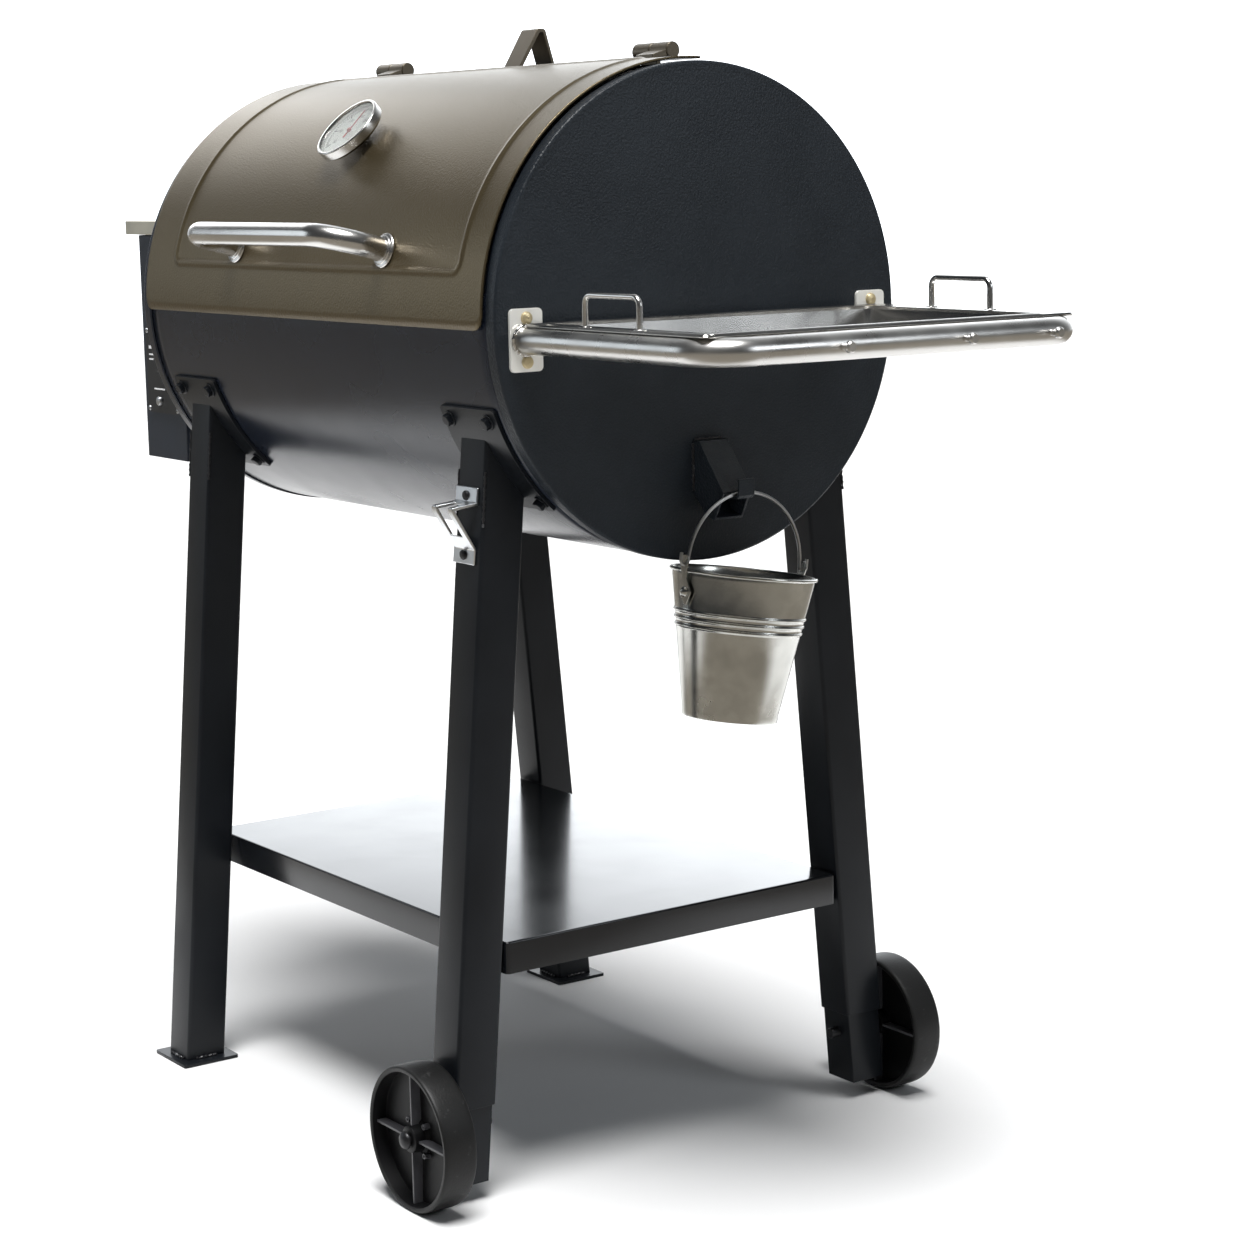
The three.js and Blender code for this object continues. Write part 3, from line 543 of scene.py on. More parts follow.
def glyph_mesh(text, size):
    """The flat outline of a plain number, in millimetres."""
    curve = bpy.data.curves.new("glyph", "FONT")
    curve.body, curve.size, curve.align_x, curve.align_y = text, size, "CENTER", "CENTER"
    holder = bpy.data.objects.new("glyph", curve)
    bpy.context.scene.collection.objects.link(holder)
    bpy.context.view_layer.update()
    mesh = bpy.data.meshes.new_from_object(holder.evaluated_get(bpy.context.evaluated_depsgraph_get()))
    verts, faces = [v.co.copy() for v in mesh.vertices], [list(p.vertices) for p in mesh.polygons]
    bpy.data.objects.remove(holder)
    return verts, faces


def thermometer():
    x, deg, r = DIAL["x"], DIAL["deg"], DIAL["r"]
    base, out = on_lid(x, deg, 0), around(1, deg)
    across, up = Vector((1, 0, 0)), around(1, deg + 90)
    turns = [math.pi / 10 * k for k in range(6)]
    bezel = [(r - 1.6 + 1.6 * math.sin(t), 19.4 + 1.6 * math.cos(t)) for t in turns]
    Shape().lathe([(0, 0.4), (13, 0.4), (13, 2), (9, 3), (9, 6), (r - 8, 6), (r - 3, 8), (r, 11),
                   *bezel[::-1], (r - 3, 21), (r - 3.8, 19.6), (r - 3.8, 13), (0, 13)], base, out, 72).made(
        "thermometer_can", "lid", "stainless", STAINLESS, replaces=["thermometer_case"], bevel=0, smooth=32)
    Shape().lathe([(0, 13.05), (r - 4, 13.05), (r - 4, 13.4), (0, 13.4)], base, out, 64).made(
        "thermometer_dial", "lid", "stainless", DIAL_WHITE, bevel=0)
    Shape().lathe([(0, 18.4), (r - 3.9, 18), (r - 3.9, 19.2), (r * 0.6, 20), (0, 20.2)], base, out, 64).made(
        "thermometer_lens", "lid", "glass", GLASS, replaces=["thermometer_glass"], bevel=0, smooth=60)

    marks = Shape()

    def on_dial(u, v, h):
        return base + across * u + up * v + out * h

    for k in range(55):
        t = math.radians(-135 + 5 * k)
        long_mark = k % 9 == 0
        r0, r1, w = (27 if long_mark else 30.5), 34, (0.55 if long_mark else 0.25)
        s, c = math.sin(t), math.cos(t)
        loop = [[on_dial(s * rr + c * ww, c * rr - s * ww, h) for rr, ww in
                 ((r0, -w), (r1, -w), (r1, w), (r0, w))] for h in (13.4, 13.6)]
        marks.loft(loop)
    for k in range(7):
        t = math.radians(-135 + 45 * k)
        verts, faces = glyph_mesh(str(50 * (k + 1)), 6.2)
        marks.add([on_dial(math.sin(t) * 21.5 + v.x, math.cos(t) * 21.5 + v.y, 13.5) for v in verts], faces)
    marks.made("thermometer_marks", "lid", "black_paint", PRINT_AND_SHADE, bevel=0)
    needle = Shape()
    outline = [(-1.1, -11), (1.1, -11), (0.4, 29), (-0.4, 29)]
    needle.loft([[on_dial(u, v, h) for u, v in outline] for h in (14.7, 15.5)])
    needle.lathe([(0, 14.2), (2.6, 14.2), (2.6, 16), (1.9, 16.8), (0, 17)], base, out, 24)
    needle.made("thermometer_pointer", "thermometer_needle", "red_paint", RED,
                replaces=["thermometer_needle"], bevel=0.1)


def lid_hinge(name, x):
    """Two rolled knuckles on one pin: the left one is welded to the barrel and the right one to the lid."""
    y, z, r = HINGE["y"], HINGE["z"], HINGE["r"]

    def knuckle(start, end):
        return [(0, start), (r - 1, start), (r, start + 1), (r, end - 1), (r - 1, end), (0, end)]

    barrel_side = Shape().lathe(knuckle(-31, -0.4), (x, y, z), (1, 0, 0), 40)
    barrel_side.lathe([(0, -33), (4.4, -33), (5.2, -32), (5.2, -31), (0, -31)], (x, y, z), (1, 0, 0), 24)
    barrel_side.prism([(y + 2, z - 2), (y + 7.5, z - 5), (y + 7.5, SHELL_R - 5.5), (y + 2, SHELL_R - 5)],
                      x - 30, x - 1, "x")
    barrel_side.bead((x - 28, y + 9, SHELL_R - 3), (x - 3, y + 9, SHELL_R - 3), 2)
    barrel_side.made(f"barrel_knuckle_{name}", "frame", "bronze_paint", DARK_BRONZE,
                     replaces=[f"hinge_barrel_knuckle_{name}"])
    lid_side = Shape().lathe(knuckle(0.4, 31), (x, y, z), (1, 0, 0), 40)
    lid_side.prism([(4, LID["r"] + 0.3), (y - 4, z - 6), (y - 4, z + 2), (4, LID["r"] + 4.5)],
                   x + 1, x + 30, "x")
    lid_side.made(f"lid_knuckle_{name}", "lid", "bronze_paint", DARK_BRONZE,
                  replaces=[f"hinge_lid_knuckle_{name}"])


def stop_strap():
    """The bent flat bar between the hinges."""
    corners = [(-2, LID["r"] + 0.5), (2.5, LID["r"] + 0.3), (27, 298), (31, 298), (42, 262), (46, 262.6),
               (34, 302), (24, 302)]
    outline = rounded(corners, [0, 0, 2, 2, 0, 0, 4, 4], 4)
    Shape().prism(outline, 26, 58, "x").made("strap", "lid", "bronze_paint", DARK_BRONZE,
                                             replaces=["lid_stop_strap"], bevel=0.6)


# ---------------------------------------------------------------- legs, shelf, wheels
def leg_face(z):
    """How far a leg's outer face stands from the barrel's plane at height z."""
    return LEG["out"] - LEG["splay"] * z


def leg_loop(x, side, z, inset, meets=None):
    """A rounded square across a leg at height z. With `meets`, its points slide up to a circle of that
    radius about the barrel's axis."""
    outer = leg_face(z) - inset
    inner = leg_face(z) - LEG_DEPTH + inset
    half = LEG["half"] - inset
    loop = rectangle(x - half, x + half, min(side * outer, side * inner), max(side * outer, side * inner),
                     max(LEG["corner"] - inset, 0.6), 4)
    if meets is None:
        return [Vector((p.x, p.y, z)) for p in loop]
    out = []
    for p in loop:
        y, height = p.y, z
        for _ in range(12):                       # walks up the leg until it touches the barrel
            height = -math.sqrt(max(meets ** 2 - y ** 2, 1))
            y = p.y - side * LEG["splay"] * (height - z)
        out.append(Vector((p.x, y, height)))
    return out


def saddle(shape, x, side):
    """The curved plate that bolts the leg to the barrel."""
    x0, x1 = x + SADDLE["x0"], x + SADDLE["x1"]
    corner, n, m = 3, 48, 26
    arc = math.radians(1) * SADDLE["r1"]
    rows = []
    for j in range(n + 1):
        deg = SADDLE["low"] + (SADDLE["top"] - SADDLE["low"]) * j / n
        over = max(0.0, corner - min(deg - SADDLE["low"], SADDLE["top"] - deg) * arc)
        pull = corner - math.sqrt(max(0.0, corner ** 2 - over ** 2))
        rows.append([(x0 + pull + (x1 - x0 - 2 * pull) * i / m, deg) for i in range(m + 1)])
    for r, flip in ((SADDLE["r1"], False), (SADDLE["r0"], True)):
        verts = [facing(around(r, deg, px), side) for row in rows for px, deg in row]
        faces = [[j * (m + 1) + i, j * (m + 1) + i + 1, (j + 1) * (m + 1) + i + 1, (j + 1) * (m + 1) + i]
                 for j in range(n) for i in range(m)]
        shape.add(verts, [f[::-1] for f in faces] if flip else faces)
    edge = rows[0] + [row[-1] for row in rows[1:]] + rows[-1][-2::-1] + [row[0] for row in rows[-2:0:-1]]
    shape.loft([[facing(around(r, deg, px), side) for px, deg in edge] for r in (SADDLE["r0"], SADDLE["r1"])],
               caps=(False, False))
    for dx, deg in ((-27, -22.5), (44, -22.5), (50, -45.3)):
        place, out = facing(around(SADDLE["r1"], deg, x + dx), side), facing(around(1, deg), side)
        shape.bolt(place, out, 6.6, 5.5, 8.6)


def facing(point, side):
    """A point on the cook's side, or the same place on the back where side is 1."""
    return Vector((point[0], -side * point[1], point[2]))


def leg(name, sx, side):
    x = sx * LEG["x"]
    bottom = GROUND + (FOOT["thick"] if sx < 0 else TUBE_END)
    shape = Shape()
    wall = LEG["wall"]
    shape.loft([leg_loop(x, side, -230, 0, SADDLE["r1"] - 1), leg_loop(x, side, -330, 0),
                leg_loop(x, side, bottom, 0), leg_loop(x, side, bottom, wall),
                leg_loop(x, side, bottom + 60, wall)])
    saddle(shape, x, side)
    for s in (-1, 1):                              # the weld along the tube's corner below the plate
        low, high = -205, -150
        start = Vector((x + s * (LEG["half"] - 0.4), side * (leg_face(low) - 0.8), low))
        end = Vector((x + s * (LEG["half"] - 0.4), side * (leg_face(high) - 0.8), high))
        shape.bead(start, end, 1.6, 1)
    if sx < 0:
        middle = side * (leg_face(GROUND) - LEG_DEPTH / 2)
        fx, fy, top = FOOT["x"], FOOT["y"], GROUND + FOOT["thick"]
        shape.prism(rectangle(x - fx, x + fx, middle - fy, middle + fy, 3, 3), GROUND, top, "z")
        for s in (-1, 1):
            y = middle + s * (LEG_DEPTH / 2 + 0.8)
            shape.bead((x - 16, y, top + 1), (x + 16, y, top + 1), 2.6, 1)
            shape.bead((x + s * 26, middle - 14, top + 1), (x + s * 26, middle + 14, top + 1), 2.6, 1)
    shape.made(f"{name}_weldment", "frame", "black_paint", LEG_BLACK, WELD, replaces=[name], bevel=0.6)


def shelf():
    s = SHELF
    top, low, sheet = s["z"], s["z"] - s["lip"], s["sheet"]

    def loop(inset, z):
        return [Vector((p.x, p.y, z)) for p in
                rectangle(inset - s["x"], s["x"] - inset, inset - s["y"], s["y"] - inset,
                          max(s["corner"] - inset, 1), 4)]

    turns = [math.pi / 12 * k for k in range(7)]
    bend = [loop(2 - 2 * math.sin(t), top - 2 + 2 * math.cos(t)) for t in turns]
    pan = Shape().loft([*bend, loop(0, low), loop(sheet, low), loop(sheet, top - sheet)])
    pan.made("shelf_pan", "frame", "black_paint", SHELF_BLACK, replaces=["bottom_shelf"], bevel=0, smooth=30)


def axle_at(side, y):
    """A point on a wheel's axle line, y out from the middle of the grill."""
    return Vector((LEG["x"], side * y, WHEEL["r"] + GROUND))


def wheel(name, side):
    """A moulded wheel: a smooth worn tread, a web with four thin ribs and four bosses, and a hub. The ribs
    and bosses are painted a lighter grey than the web: a painted highlight.
    """
    r, w = WHEEL["r"], WHEEL["width"]
    base, out = axle_at(side, WHEEL["inner"]), Vector((0, side, 0))
    shape = Shape()
    tread = [(r - 2.2, 0), (r - 0.9, 1.2), (r - 0.5, 3), (r, 7), (r, w - 7), (r - 0.5, w - 3),
             (r - 0.9, w - 1.2), (r - 2.2, w)]
    shape.lathe([(r - 6.5, 1), (r - 5, 0), *tread, (r - 5, w), (r - 6.5, w - 1)], base, out, 96, 1)
    outer_web = [(r - 6.5, w - 1), (r - 7.5, 21.5), (19, 20.5), (15, 24)]
    hub = [(14, w - 3), (12.5, w - 2), (6.6, w - 2), (6.6, 3), (12.5, 3), (14, 4)]
    inner_web = [(15, 15), (19, 15.5), (r - 7.5, 15), (r - 6.5, 1)]
    shape.lathe(outer_web + hub + inner_web, base, out, 96, 0)
    # Paint 2 on the ribs and bosses is a painted highlight.
    for k in range(4):
        t = math.pi / 2 * k
        along, across = Vector((math.cos(t), 0, math.sin(t))), Vector((-math.sin(t), 0, math.cos(t)))
        for low, high in ((20, w - 6), (4, 15.6)):
            loops = [[base + out * h + along * rr + across * ww for rr, ww in
                      ((13, -1.3), (r - 7, -1.3), (r - 7, 1.3), (13, 1.3))] for h in (low, high)]
            shape.loft(loops, 2)
        corner = (along + across).normalized()     # a small boss between each two ribs
        shape.lathe([(0, 0), (3.4, 0), (3, 7), (1.6, 7), (1.4, 3), (0, 3)],
                    base + out * 20.5 + corner * 22, out, 16, 2)
    shape.made(f"{name}_moulding", name, "plastic", WHEEL_BLACK, TREAD, RIB_HIGHLIGHT, replaces=[name], bevel=0.25)


def wheel_fittings(name, side):
    """The inner tube that steps out of a right leg's end, and the axle it carries."""
    sleeve_wall = LEG["wall"] + 0.3
    x, top, low = LEG["x"], GROUND + TUBE_END + 60, GROUND + SLEEVE_END
    Shape().loft([leg_loop(x, side, top, sleeve_wall + 2.5), leg_loop(x, side, top, sleeve_wall),
                  leg_loop(x, side, low, sleeve_wall), leg_loop(x, side, low, sleeve_wall + 2.5),
                  leg_loop(x, side, low + 70, sleeve_wall + 2.5)]).made(
        f"sleeve_{name}", "frame", "black_paint", LEG_BLACK, replaces=[f"wheel_sleeve_{name}"], bevel=0.4)
    out = Vector((0, side, 0))
    cap = WHEEL["inner"] + WHEEL["width"]
    axle = Shape().lathe([(0, 231), (5.5, 231), (6, 232), (6, cap), (0, cap)], axle_at(side, 0), out, 32)
    dome = [(0, 0.8), (9.6, 0.8), (9.6, 2), (7.5, 5), (3, 6.6), (0, 6.8)]
    axle.lathe([(r, cap + h) for r, h in dome], axle_at(side, 0), out, 32)
    axle.made(f"axle_{name}", "frame", "steel", BLACK_OXIDE, replaces=[f"stub_axle_{name}"], bevel=0.3)


def bottle_opener():
    """A bent bright plate on the right front leg: an upper tab, a nose with a window, and a lower tab."""
    refined("bottle_opener", BRIGHT_ZINC, 0.9)
    for k, z in enumerate((-175, -235)):
        d = (0, -1, -LEG["splay"])
        # Each screw's cross is black: painted shade for its recess.
        Shape().screw((297, -(leg_face(z) + 0.5) - 2.4, z), d, 5.2, 2.6).made(
            f"opener_screw_{k + 1}", "frame", "steel", BLACK_OXIDE, PRINT_AND_SHADE, bevel=0.1)


# ---------------------------------------------------------------- side rail and tray
def side_rail():
    r = RAIL
    ends = HALF_LENGTH + 3
    path = filleted([(ends, -r["y"], r["z"]), (r["x"], -r["y"], r["z"]), (r["x"], r["y"], r["z"]),
                     (ends, r["y"], r["z"])], r["bend"], 16)
    shape = Shape().tube(path, r["r"], 40)
    for y in r["pegs"]:
        profile = [(0, -2), (3.4, -2), (3.4, 5), (4.6, 6.4), (5.6, 8), (5.6, r["peg"] - 1.6),
                   (4.2, r["peg"]), (0, r["peg"])]
        shape.lathe(profile, (r["x"] + r["r"], y, r["z"]), (1, 0, 0), 28)
    shape.made("rail_tube", "frame", "stainless", RAIL_STEEL, replaces=["side_rail"], bevel=0.2)
    for name, side in (("front", -1), ("back", 1)):
        y, z, x = side * (r["y"] - 3), r["z"], HALF_LENGTH + 0.3
        outline = rectangle(y - 19, y + 19, z - 31, z + 31, 5)
        bracket = Shape().prism(outline, x, x + 3.3, "x")
        ring = [(ends + 4, side * r["y"] + 14.5 * math.cos(t), z + 14.5 * math.sin(t))
                for t in (2 * math.pi * k / 40 for k in range(41))]
        bracket.tube(ring, 2, 8, 2, [1.9 + 0.5 * math.sin(2.7 * k) for k in range(41)])
        for dz in (21.5, -21.5):
            bracket.screw((x + 3.3, y, z + dz), (1, 0, 0), 6.4, 3.8, 1)
        bracket.made(f"rail_bracket_{name}", "frame", "stainless", PLATE, YELLOW_ZINC, STAINLESS, bevel=0.4)


def serving_tray():
    t = TRAY
    x0, x1, y = t["x0"], t["x1"], t["y"]
    top = t["rim"] + t["sheet"]

    def loop(out_x0, out_x1, out_y, z, radius):
        return [Vector((p.x, p.y, z)) for p in
                rectangle(x0 - out_x0, x1 + out_x1, -y - out_y, y + out_y, radius, 8)]

    turns = [math.pi / 12 * k for k in range(7)]
    bend = [(3 - 3 * math.sin(a), -3 + 3 * math.cos(a)) for a in turns]
    wall = [loop(b - 3, b - 3, b - 3, top + h, 11) for b, h in [(6 - o, h) for o, h in bend]]
    fillet = [loop(-4 + 4 * math.cos(a), -4 + 4 * math.cos(a), -4 + 4 * math.cos(a),
                   t["floor"] + t["sheet"] + 4 - 4 * math.sin(a), 9) for a in turns]
    shape = Shape().loft([loop(5.7, 19.6, 21.6, top - 1.6, 6), loop(6, 20, 22, top - 0.8, 6),
                          loop(5.6, 19.5, 21.5, top, 6), *wall[::-1][:1], *wall, *fillet,
                          loop(-9, -9, -9, t["floor"] + t["sheet"], 6)], caps=(False, True))
    shape.made("tray_pan", "serving_tray", "stainless", STAINLESS, replaces=["serving_tray"], bevel=0,
               smooth=50, thick=-1.2)
    for name, side in (("front", -1), ("back", 1)):
        hy, hz, hx = side * (y + 13), top + 0.3, t["handle_x"]
        path = filleted([(hx - 44, hy, hz), (hx - 44, hy, hz + 31), (hx + 44, hy, hz + 31),
                         (hx + 44, hy, hz)], 9, 8)
        handle = Shape().tube(path, 3, 24)
        for s in (-1, 1):
            handle.lathe([(0, 0), (6.4, 0), (6.4, 1), (5.2, 1.8), (0, 1.8)], (hx + s * 44, hy, hz),
                         (0, 0, 1), 28)
        handle.made(f"tray_wire_{name}", "serving_tray", "stainless", STAINLESS,
                    replaces=[f"tray_handle_{name}"], bevel=0.15)


# ---------------------------------------------------------------- grease chute and bucket
def grease_chute():
    refined("grease_chute", POWDER, 0.8)
    x, y, half = HALF_LENGTH + 1.2, CHUTE["y"], CHUTE["half"] + 0.8
    beads = Shape()
    for side in (-1, 1):
        beads.bead((x, y + side * half, CHUTE["top"] - 3), (x, y + side * half, CHUTE["low"] + 2), 1.8)
    beads.bead((x, y - half + 2, CHUTE["top"] + 0.8), (x, y + half - 2, CHUTE["top"] + 0.8), 1.8)
    beads.made("chute_welds", "frame", "black_paint", WELD, bevel=0)


def hanging():
    """The matrix that takes shapes drawn upright about the bucket's rim to where it hangs."""
    place = Matrix.Translation((HOOK["x"], BUCKET["y"], BUCKET["rim"]))
    return place @ Matrix.Rotation(math.radians(BUCKET["lean"]), 4, "X")


def grease_bucket():
    r, base, height = BUCKET["r"], BUCKET["base"], BUCKET["height"]

    def side(z):
        """The bucket's outer radius at height z below its rim."""
        return base + (r - base) * (z + height) / height

    shape = Shape()
    shape.move = hanging()
    ribs = []
    for k in range(3):
        low = -60 + 7.5 * k
        ribs += [(side(low + 5.4 * m / 8) + 1.7 * math.sin(math.pi * m / 8) ** 2, low + 5.4 * m / 8)
                 for m in range(9)]
    roll = [(r + 0.4 + 1.9 * math.cos(a), -0.9 + 1.9 * math.sin(a)) for a in
            (math.radians(-150 + 30 * k) for k in range(11))]
    foot = -height
    outer = [(0, foot + 2.5), (base - 3, foot + 2.5), (base - 1.5, foot), (base + 0.4, foot),
             (base + 1, foot + 2.5), (side(foot + 6), foot + 6), *ribs, (side(-6), -6)]
    inner = [(side(-6) - 1, -6), (side(-60) - 1, -60), (base - 1, foot + 4.5), (0, foot + 4.5)]
    shape.lathe([*outer, *roll, *inner], (0, 0, 0), (0, 0, 1), 96)
    seam = [[Vector((math.cos(t) * (side(z) + h), math.sin(t) * (side(z) + h), z)) for t, h in
             ((2.5, 0), (2.5, 0.7), (2.58, 0.7), (2.58, 0))] for z in (-146, -62)]
    shape.loft(seam)
    shape.made("bucket_body", "bucket", "galvanised", GALVANISED, replaces=["grease_bucket"], bevel=0,
               smooth=40)
    ears = Shape()
    ears.move = hanging()
    for s in (-1, 1):
        plate = rounded([(0, -38), (10, -22), (4, -8), (4, -2), (7, 7), (4.5, 15), (-4.5, 15), (-7, 7),
                         (-4, -2), (-4, -8), (-10, -22)], 2.4, 4)
        ears.loft([[Vector((u, s * (76.3 + skin + min(v, 0) * 0.17), v)) for u, v in plate]
                   for skin in (0.8, -0.6)])
        ears.lathe([(0, 0), (5.6, 0), (5, 2), (3, 3.6), (0, 4.2)], (0, s * 73.2, -22), (0, s, 0.17), 24)
    ears.made("bucket_ears", "bucket", "galvanised", GALVANISED, bevel=0.25)


def bail():
    """The wire over the hook, its ends bent through the ears."""
    half, pivot = BUCKET["bail"], BUCKET["pivot"]
    top = HOOK["z"] - BUCKET["rim"] - pivot
    shape = Shape()
    shape.move = hanging()
    arch = [Vector((0, -half * math.cos(t), top * math.sin(t) + pivot)) for t in
            (math.pi * k / 48 for k in range(49))]
    shape.tube(arch, 1.8, 16)
    for s in (-1, 1):                              # each end goes out through its ear and curls up
        hook = [(half, pivot + 3), (half, pivot - 3), (half + 9, pivot - 3), (half + 9, pivot + 9)]
        shape.tube(filleted([(0, s * y, z) for y, z in hook], 4.4, 8), 1.8, 12)
    shape.made("bail_wire", "bail", "steel", STEEL, replaces=["bucket_bail"], bevel=0, smooth=60)


# ---------------------------------------------------------------- hopper
def hopper():
    refined("hopper_shell", GREY, 0.9)
    refined("hopper_lid", HOPPER_TOP, 1.6)
    refined("hopper_lid_hinge", STEEL, 0.4)
    refined("control_panel", PLASTIC, 0.9)
    refined("power_inlet", PLASTIC, 0.6)
    y = -HOPPER["y"] - 4.4
    kx, kz = HOPPER["knob"]
    marks = Shape()
    for k in range(9):
        t = math.radians(-135 + 33.75 * k)
        s, c = math.sin(t), math.cos(t)
        marks.loft([[Vector((kx + s * rr + c * ww, y - h, kz + c * rr - s * ww)) for rr, ww in
                     ((18.5, -0.5), (22.5, -0.5), (22.5, 0.5), (18.5, 0.5))] for h in (0, 0.25)])
    for x0, x1, z0, z1 in ((-556, -534, -66, -62), (-556, -534, -74, -72), (-556, -540, -80, -78),
                           (-545, -515, -117, -115)):
        marks.block(x0, x1, y - 0.25, y, z0, z1, 0.1)
    marks.made("panel_marks", "frame", "plastic", WHITE_PRINT, bevel=0)
    # The crosses on these steel heads are black: painted shade for the recesses.
    screws = Shape()
    for x, z in ((-559, -43), (-481, -43), (-559, -141), (-481, -141)):
        screws.screw((x, y + 0.1, z), (0, -1, 0), 3.2, 2)
    screws.made("panel_screws", "frame", "steel", STEEL, PRINT_AND_SHADE, bevel=0.1)
    knob = Shape()
    flutes = [[Vector((kx + rr * math.cos(t), y + 0.1 - h, kz + rr * math.sin(t))) for t, rr in
               ((2 * math.pi * k / 72, (r - (0.7 if k % 4 == 0 else 0))) for k in range(72))]
              for r, h in ((15, 0.4), (15, 3.6), (13.4, 5), (12.6, 14), (11.2, 15.4))]
    knob.loft(flutes)
    knob.block(kx - 0.7, kx + 0.7, y - 15.6, y - 15.2, kz + 1, kz + 11, 0.2, 1)
    knob.made("knob", "feed_knob", "plastic", PLASTIC, WHITE_PRINT, replaces=["feed_knob"], bevel=0.3)
    bx, bz = HOPPER["button"]
    button = Shape().lathe([(0, 3.4), (5.9, 3.4), (5.9, 6.6), (5.2, 7.7), (4, 8.1), (0, 8.2)],
                           (bx, -HOPPER["y"], bz), (0, -1, 0), 36)
    button.made("button", "power_button", "steel", STEEL, replaces=["power_button"], bevel=0)


# ---------------------------------------------------------------- everything inside, and plain folded parts
def inner_parts():
    for name, material, bevel in (
            ("rear_exhaust_hood", POWDER, 1.0), ("cooking_grate", ENAMEL, 1.2), ("warming_rack", STEEL, 0.8),
            ("drip_pan", ENAMEL, 0.6), ("heat_deflector", ENAMEL, 0.6), ("grate_ledge_front", STEEL, 0.4),
            ("grate_ledge_back", STEEL, 0.4), ("fire_pot", ENAMEL, 0.5), ("igniter_rod", STEEL, 0.4),
            ("temperature_probe", STEEL, 0.3), ("burner_duct", STEEL, 0.3), ("auger_tube", STEEL, 0.3),
            ("auger", STEEL, 0.4), ("auger_motor", STEEL, 1.0), ("fan_housing", PLASTIC, 0.6),
            ("fan_impeller", PLASTIC, 0.3), ("hopper_funnel", STEEL, 0.4),
            ("hopper_safety_grate", STEEL, 0.5)):
        refined(name, material, bevel)


# ---------------------------------------------------------------- the stage
CAMERA = {"place": (2.5763, -1.7008, 1.0578), "heading": 54.763, "pitch": 9.397, "roll": -1.1025,
          "lens": 79.402}


PAPER = {"turn": 55, "half": 1.25, "near": -0.4}      # degrees, and metres about the frame's origin


def floor():
    """A plain pale floor. In reflections only a strip of it is pale, like paper laid on a dark floor."""
    mesh = bpy.data.meshes.new("floor")
    size = 14
    corners = [(-size, -size, 0), (size, -size, 0), (size, size, 0), (-size, size, 0)]
    mesh.from_pydata(corners, [], [(0, 1, 2, 3)])
    obj = bpy.data.objects.new("floor", mesh)
    bpy.context.scene.collection.objects.link(obj)
    matt = bpy.data.materials.new("pale_floor")
    matt.use_nodes = True
    tree, shader = matt.node_tree, matt.node_tree.nodes["Principled BSDF"]
    turn = math.radians(PAPER["turn"])
    place = node(tree, "ShaderNodeNewGeometry").outputs["Position"]
    along = dot(tree, place, (-math.sin(turn), math.cos(turn), 0))
    aside = maths(tree, "ABSOLUTE", dot(tree, place, (math.cos(turn), math.sin(turn), 0)))
    beside = maths(tree, "MAXIMUM", ranged(tree, aside, 0, 1, PAPER["half"], PAPER["half"] + 0.4),
                   ranged(tree, along, 1, 0, PAPER["near"] - 0.4, PAPER["near"]))
    seen = maths(tree, "MULTIPLY", beside, node(tree, "ShaderNodeLightPath").outputs["Is Glossy Ray"])
    tree.links.new(mixed(tree, seen, (0.86, 0.86, 0.86), (0.2, 0.18, 0.15)), shader.inputs["Base Color"])
    shader.inputs["Roughness"].default_value = 0.8
    shader.inputs["Specular IOR Level"].default_value = 0.1
    mesh.materials.append(matt)


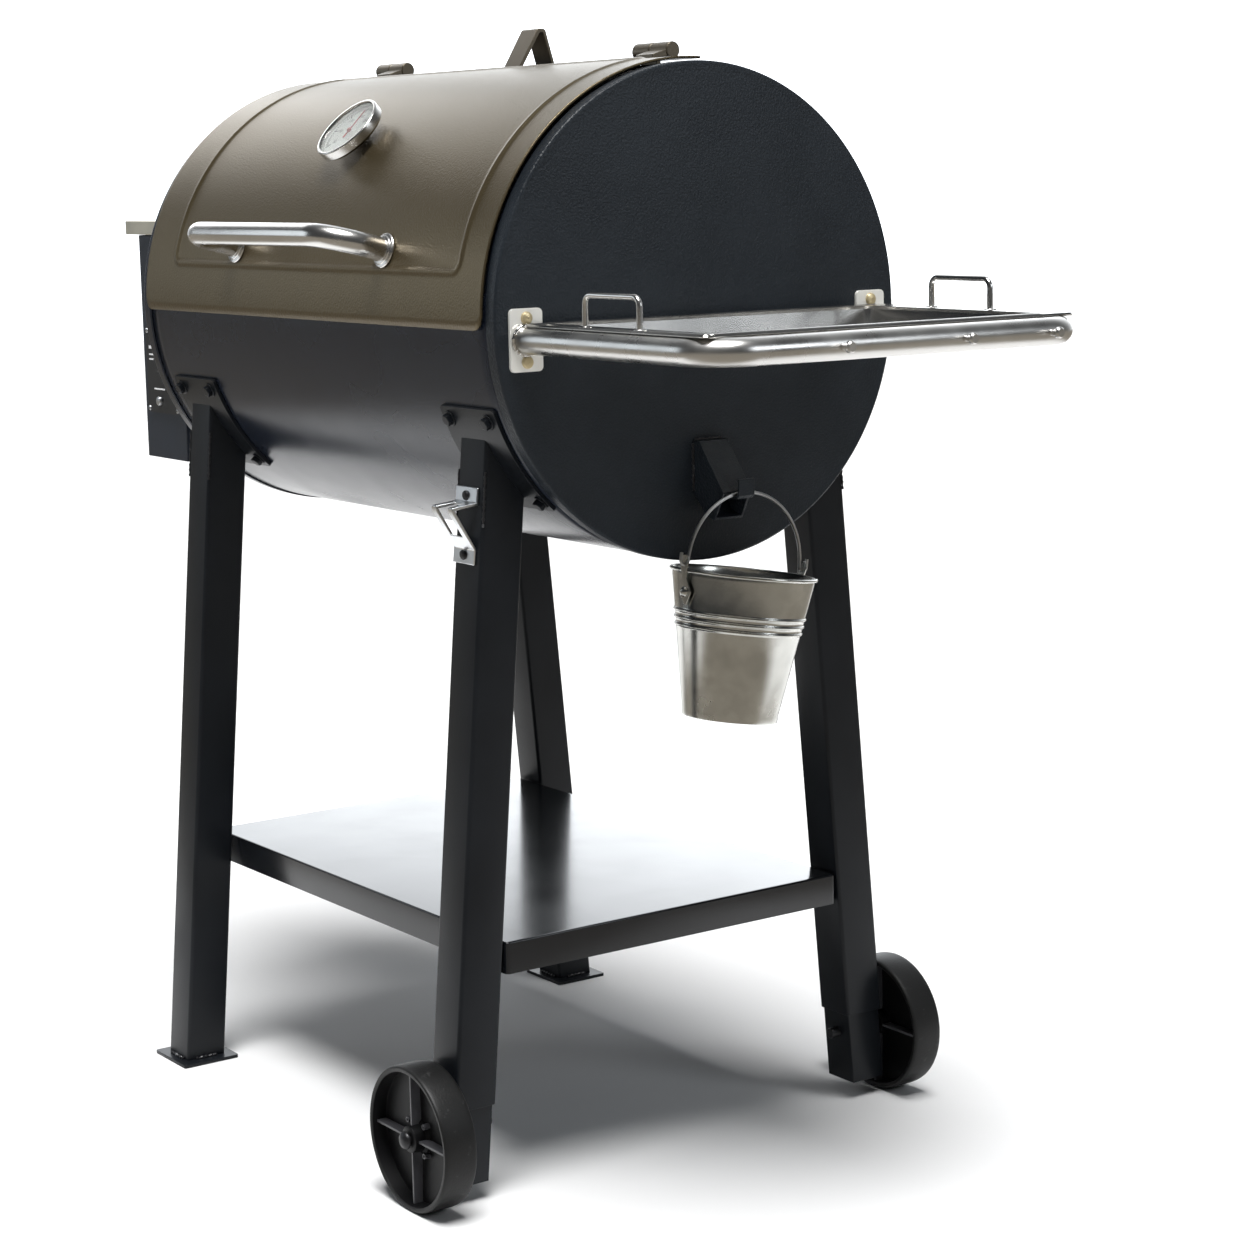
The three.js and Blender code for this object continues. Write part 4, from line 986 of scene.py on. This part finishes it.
def stage():
    """Soft light, most of it from the back left, four lamps, and a backdrop that cameras see as white."""
    world = bpy.data.worlds.new("studio")
    bpy.context.scene.world = world
    world.use_nodes = True
    tree = world.node_tree
    where = node(tree, "ShaderNodeTexCoord").outputs["Generated"]
    half = maths(tree, "MULTIPLY_ADD", dot(tree, where, (-0.74, 0.64, 0.21)), 0.5, 0.5)
    beam = maths(tree, "MULTIPLY_ADD", maths(tree, "POWER", half, 14.0), 3.0, 0.05)
    path = node(tree, "ShaderNodeLightPath").outputs
    lit = maths(tree, "MULTIPLY", beam, ranged(tree, path["Is Diffuse Ray"], 1.0, 0.25, 0, 1))
    level = maths(tree, "MAXIMUM", lit, maths(tree, "MULTIPLY", path["Is Camera Ray"], 1.15))
    tree.nodes["Background"].inputs["Color"].default_value = (0.93, 0.965, 1, 1)
    tree.links.new(level, tree.nodes["Background"].inputs["Strength"])

    def lamp(name, kind, energy, place, target, size=1.0, size_y=None, tint=(1, 1, 1)):
        data = bpy.data.lights.new(name, kind)
        data.energy, data.color = energy, tint
        if kind == "AREA":
            data.shape, data.size, data.size_y = "RECTANGLE", size, size_y or size
        else:
            data.angle = math.radians(size)
        obj = bpy.data.objects.new(name, data)
        bpy.context.scene.collection.objects.link(obj)
        obj.location = place
        obj.rotation_euler = (Vector(target) - Vector(place)).to_track_quat("-Z", "Y").to_euler()

    lamp("overhead", "SUN", 4.8, (0.9, -0.6, 4), (0, 0, 0), 30)
    lamp("front_fill", "AREA", 13, (-2.9, -2.6, 1.6), (0, 0, 0.7), 2.0, 1.6, (0.85, 0.93, 1))
    lamp("back_key", "AREA", 9, (-2.6, 0.2, 2.1), (-0.2, -0.1, 1.1), 1.2, 1.2)
    lamp("edge_key", "AREA", 12, (2.9, 1.3, 1.9), (0.3, 0, 1), 0.9, 0.9, (0.9, 0.95, 1))


def camera():
    """Heading 0 looks along +Y and turns the view towards -X; the pitch is downwards."""
    a, p, r = (math.radians(CAMERA[k]) for k in ("heading", "pitch", "roll"))
    forward = Vector((-math.sin(a) * math.cos(p), math.cos(a) * math.cos(p), -math.sin(p)))
    right = Vector((math.cos(a), math.sin(a), 0))
    up = right.cross(forward)
    tilted_right = right * math.cos(r) + up * math.sin(r)
    tilted_up = up * math.cos(r) - right * math.sin(r)
    data = bpy.data.cameras.new("camera")
    data.lens, data.sensor_width, data.clip_end = CAMERA["lens"], 36, 60
    obj = bpy.data.objects.new("camera", data)
    bpy.context.scene.collection.objects.link(obj)
    turn = Matrix((tilted_right, tilted_up, -forward)).transposed().to_4x4()
    obj.matrix_world = Matrix.Translation(CAMERA["place"]) @ turn
    bpy.context.scene.camera = obj


camera()
floor()
stage()
bpy.context.scene.view_settings.view_transform = "Standard"
barrel()
end_cap(-1, "left_end_cap", "blue_black_paint", SATIN)
end_cap(1, "right_end_cap", "black_paint", POWDER)
lid_skin()
lid_handle()
thermometer()
for hinge_name, hinge_x in HINGE["xs"].items():
    lid_hinge(hinge_name, hinge_x)
stop_strap()
for leg_name, leg_x, leg_side in (("leg_front_left", -1, -1), ("leg_front_right", 1, -1),
                                  ("leg_back_left", -1, 1), ("leg_back_right", 1, 1)):
    leg(leg_name, leg_x, leg_side)
shelf()
for end_name, end_side in (("front", -1), ("back", 1)):
    wheel(f"wheel_{end_name}", end_side)
    wheel_fittings(end_name, end_side)
bottle_opener()
side_rail()
serving_tray()
grease_chute()
grease_bucket()
bail()
hopper()
inner_parts()
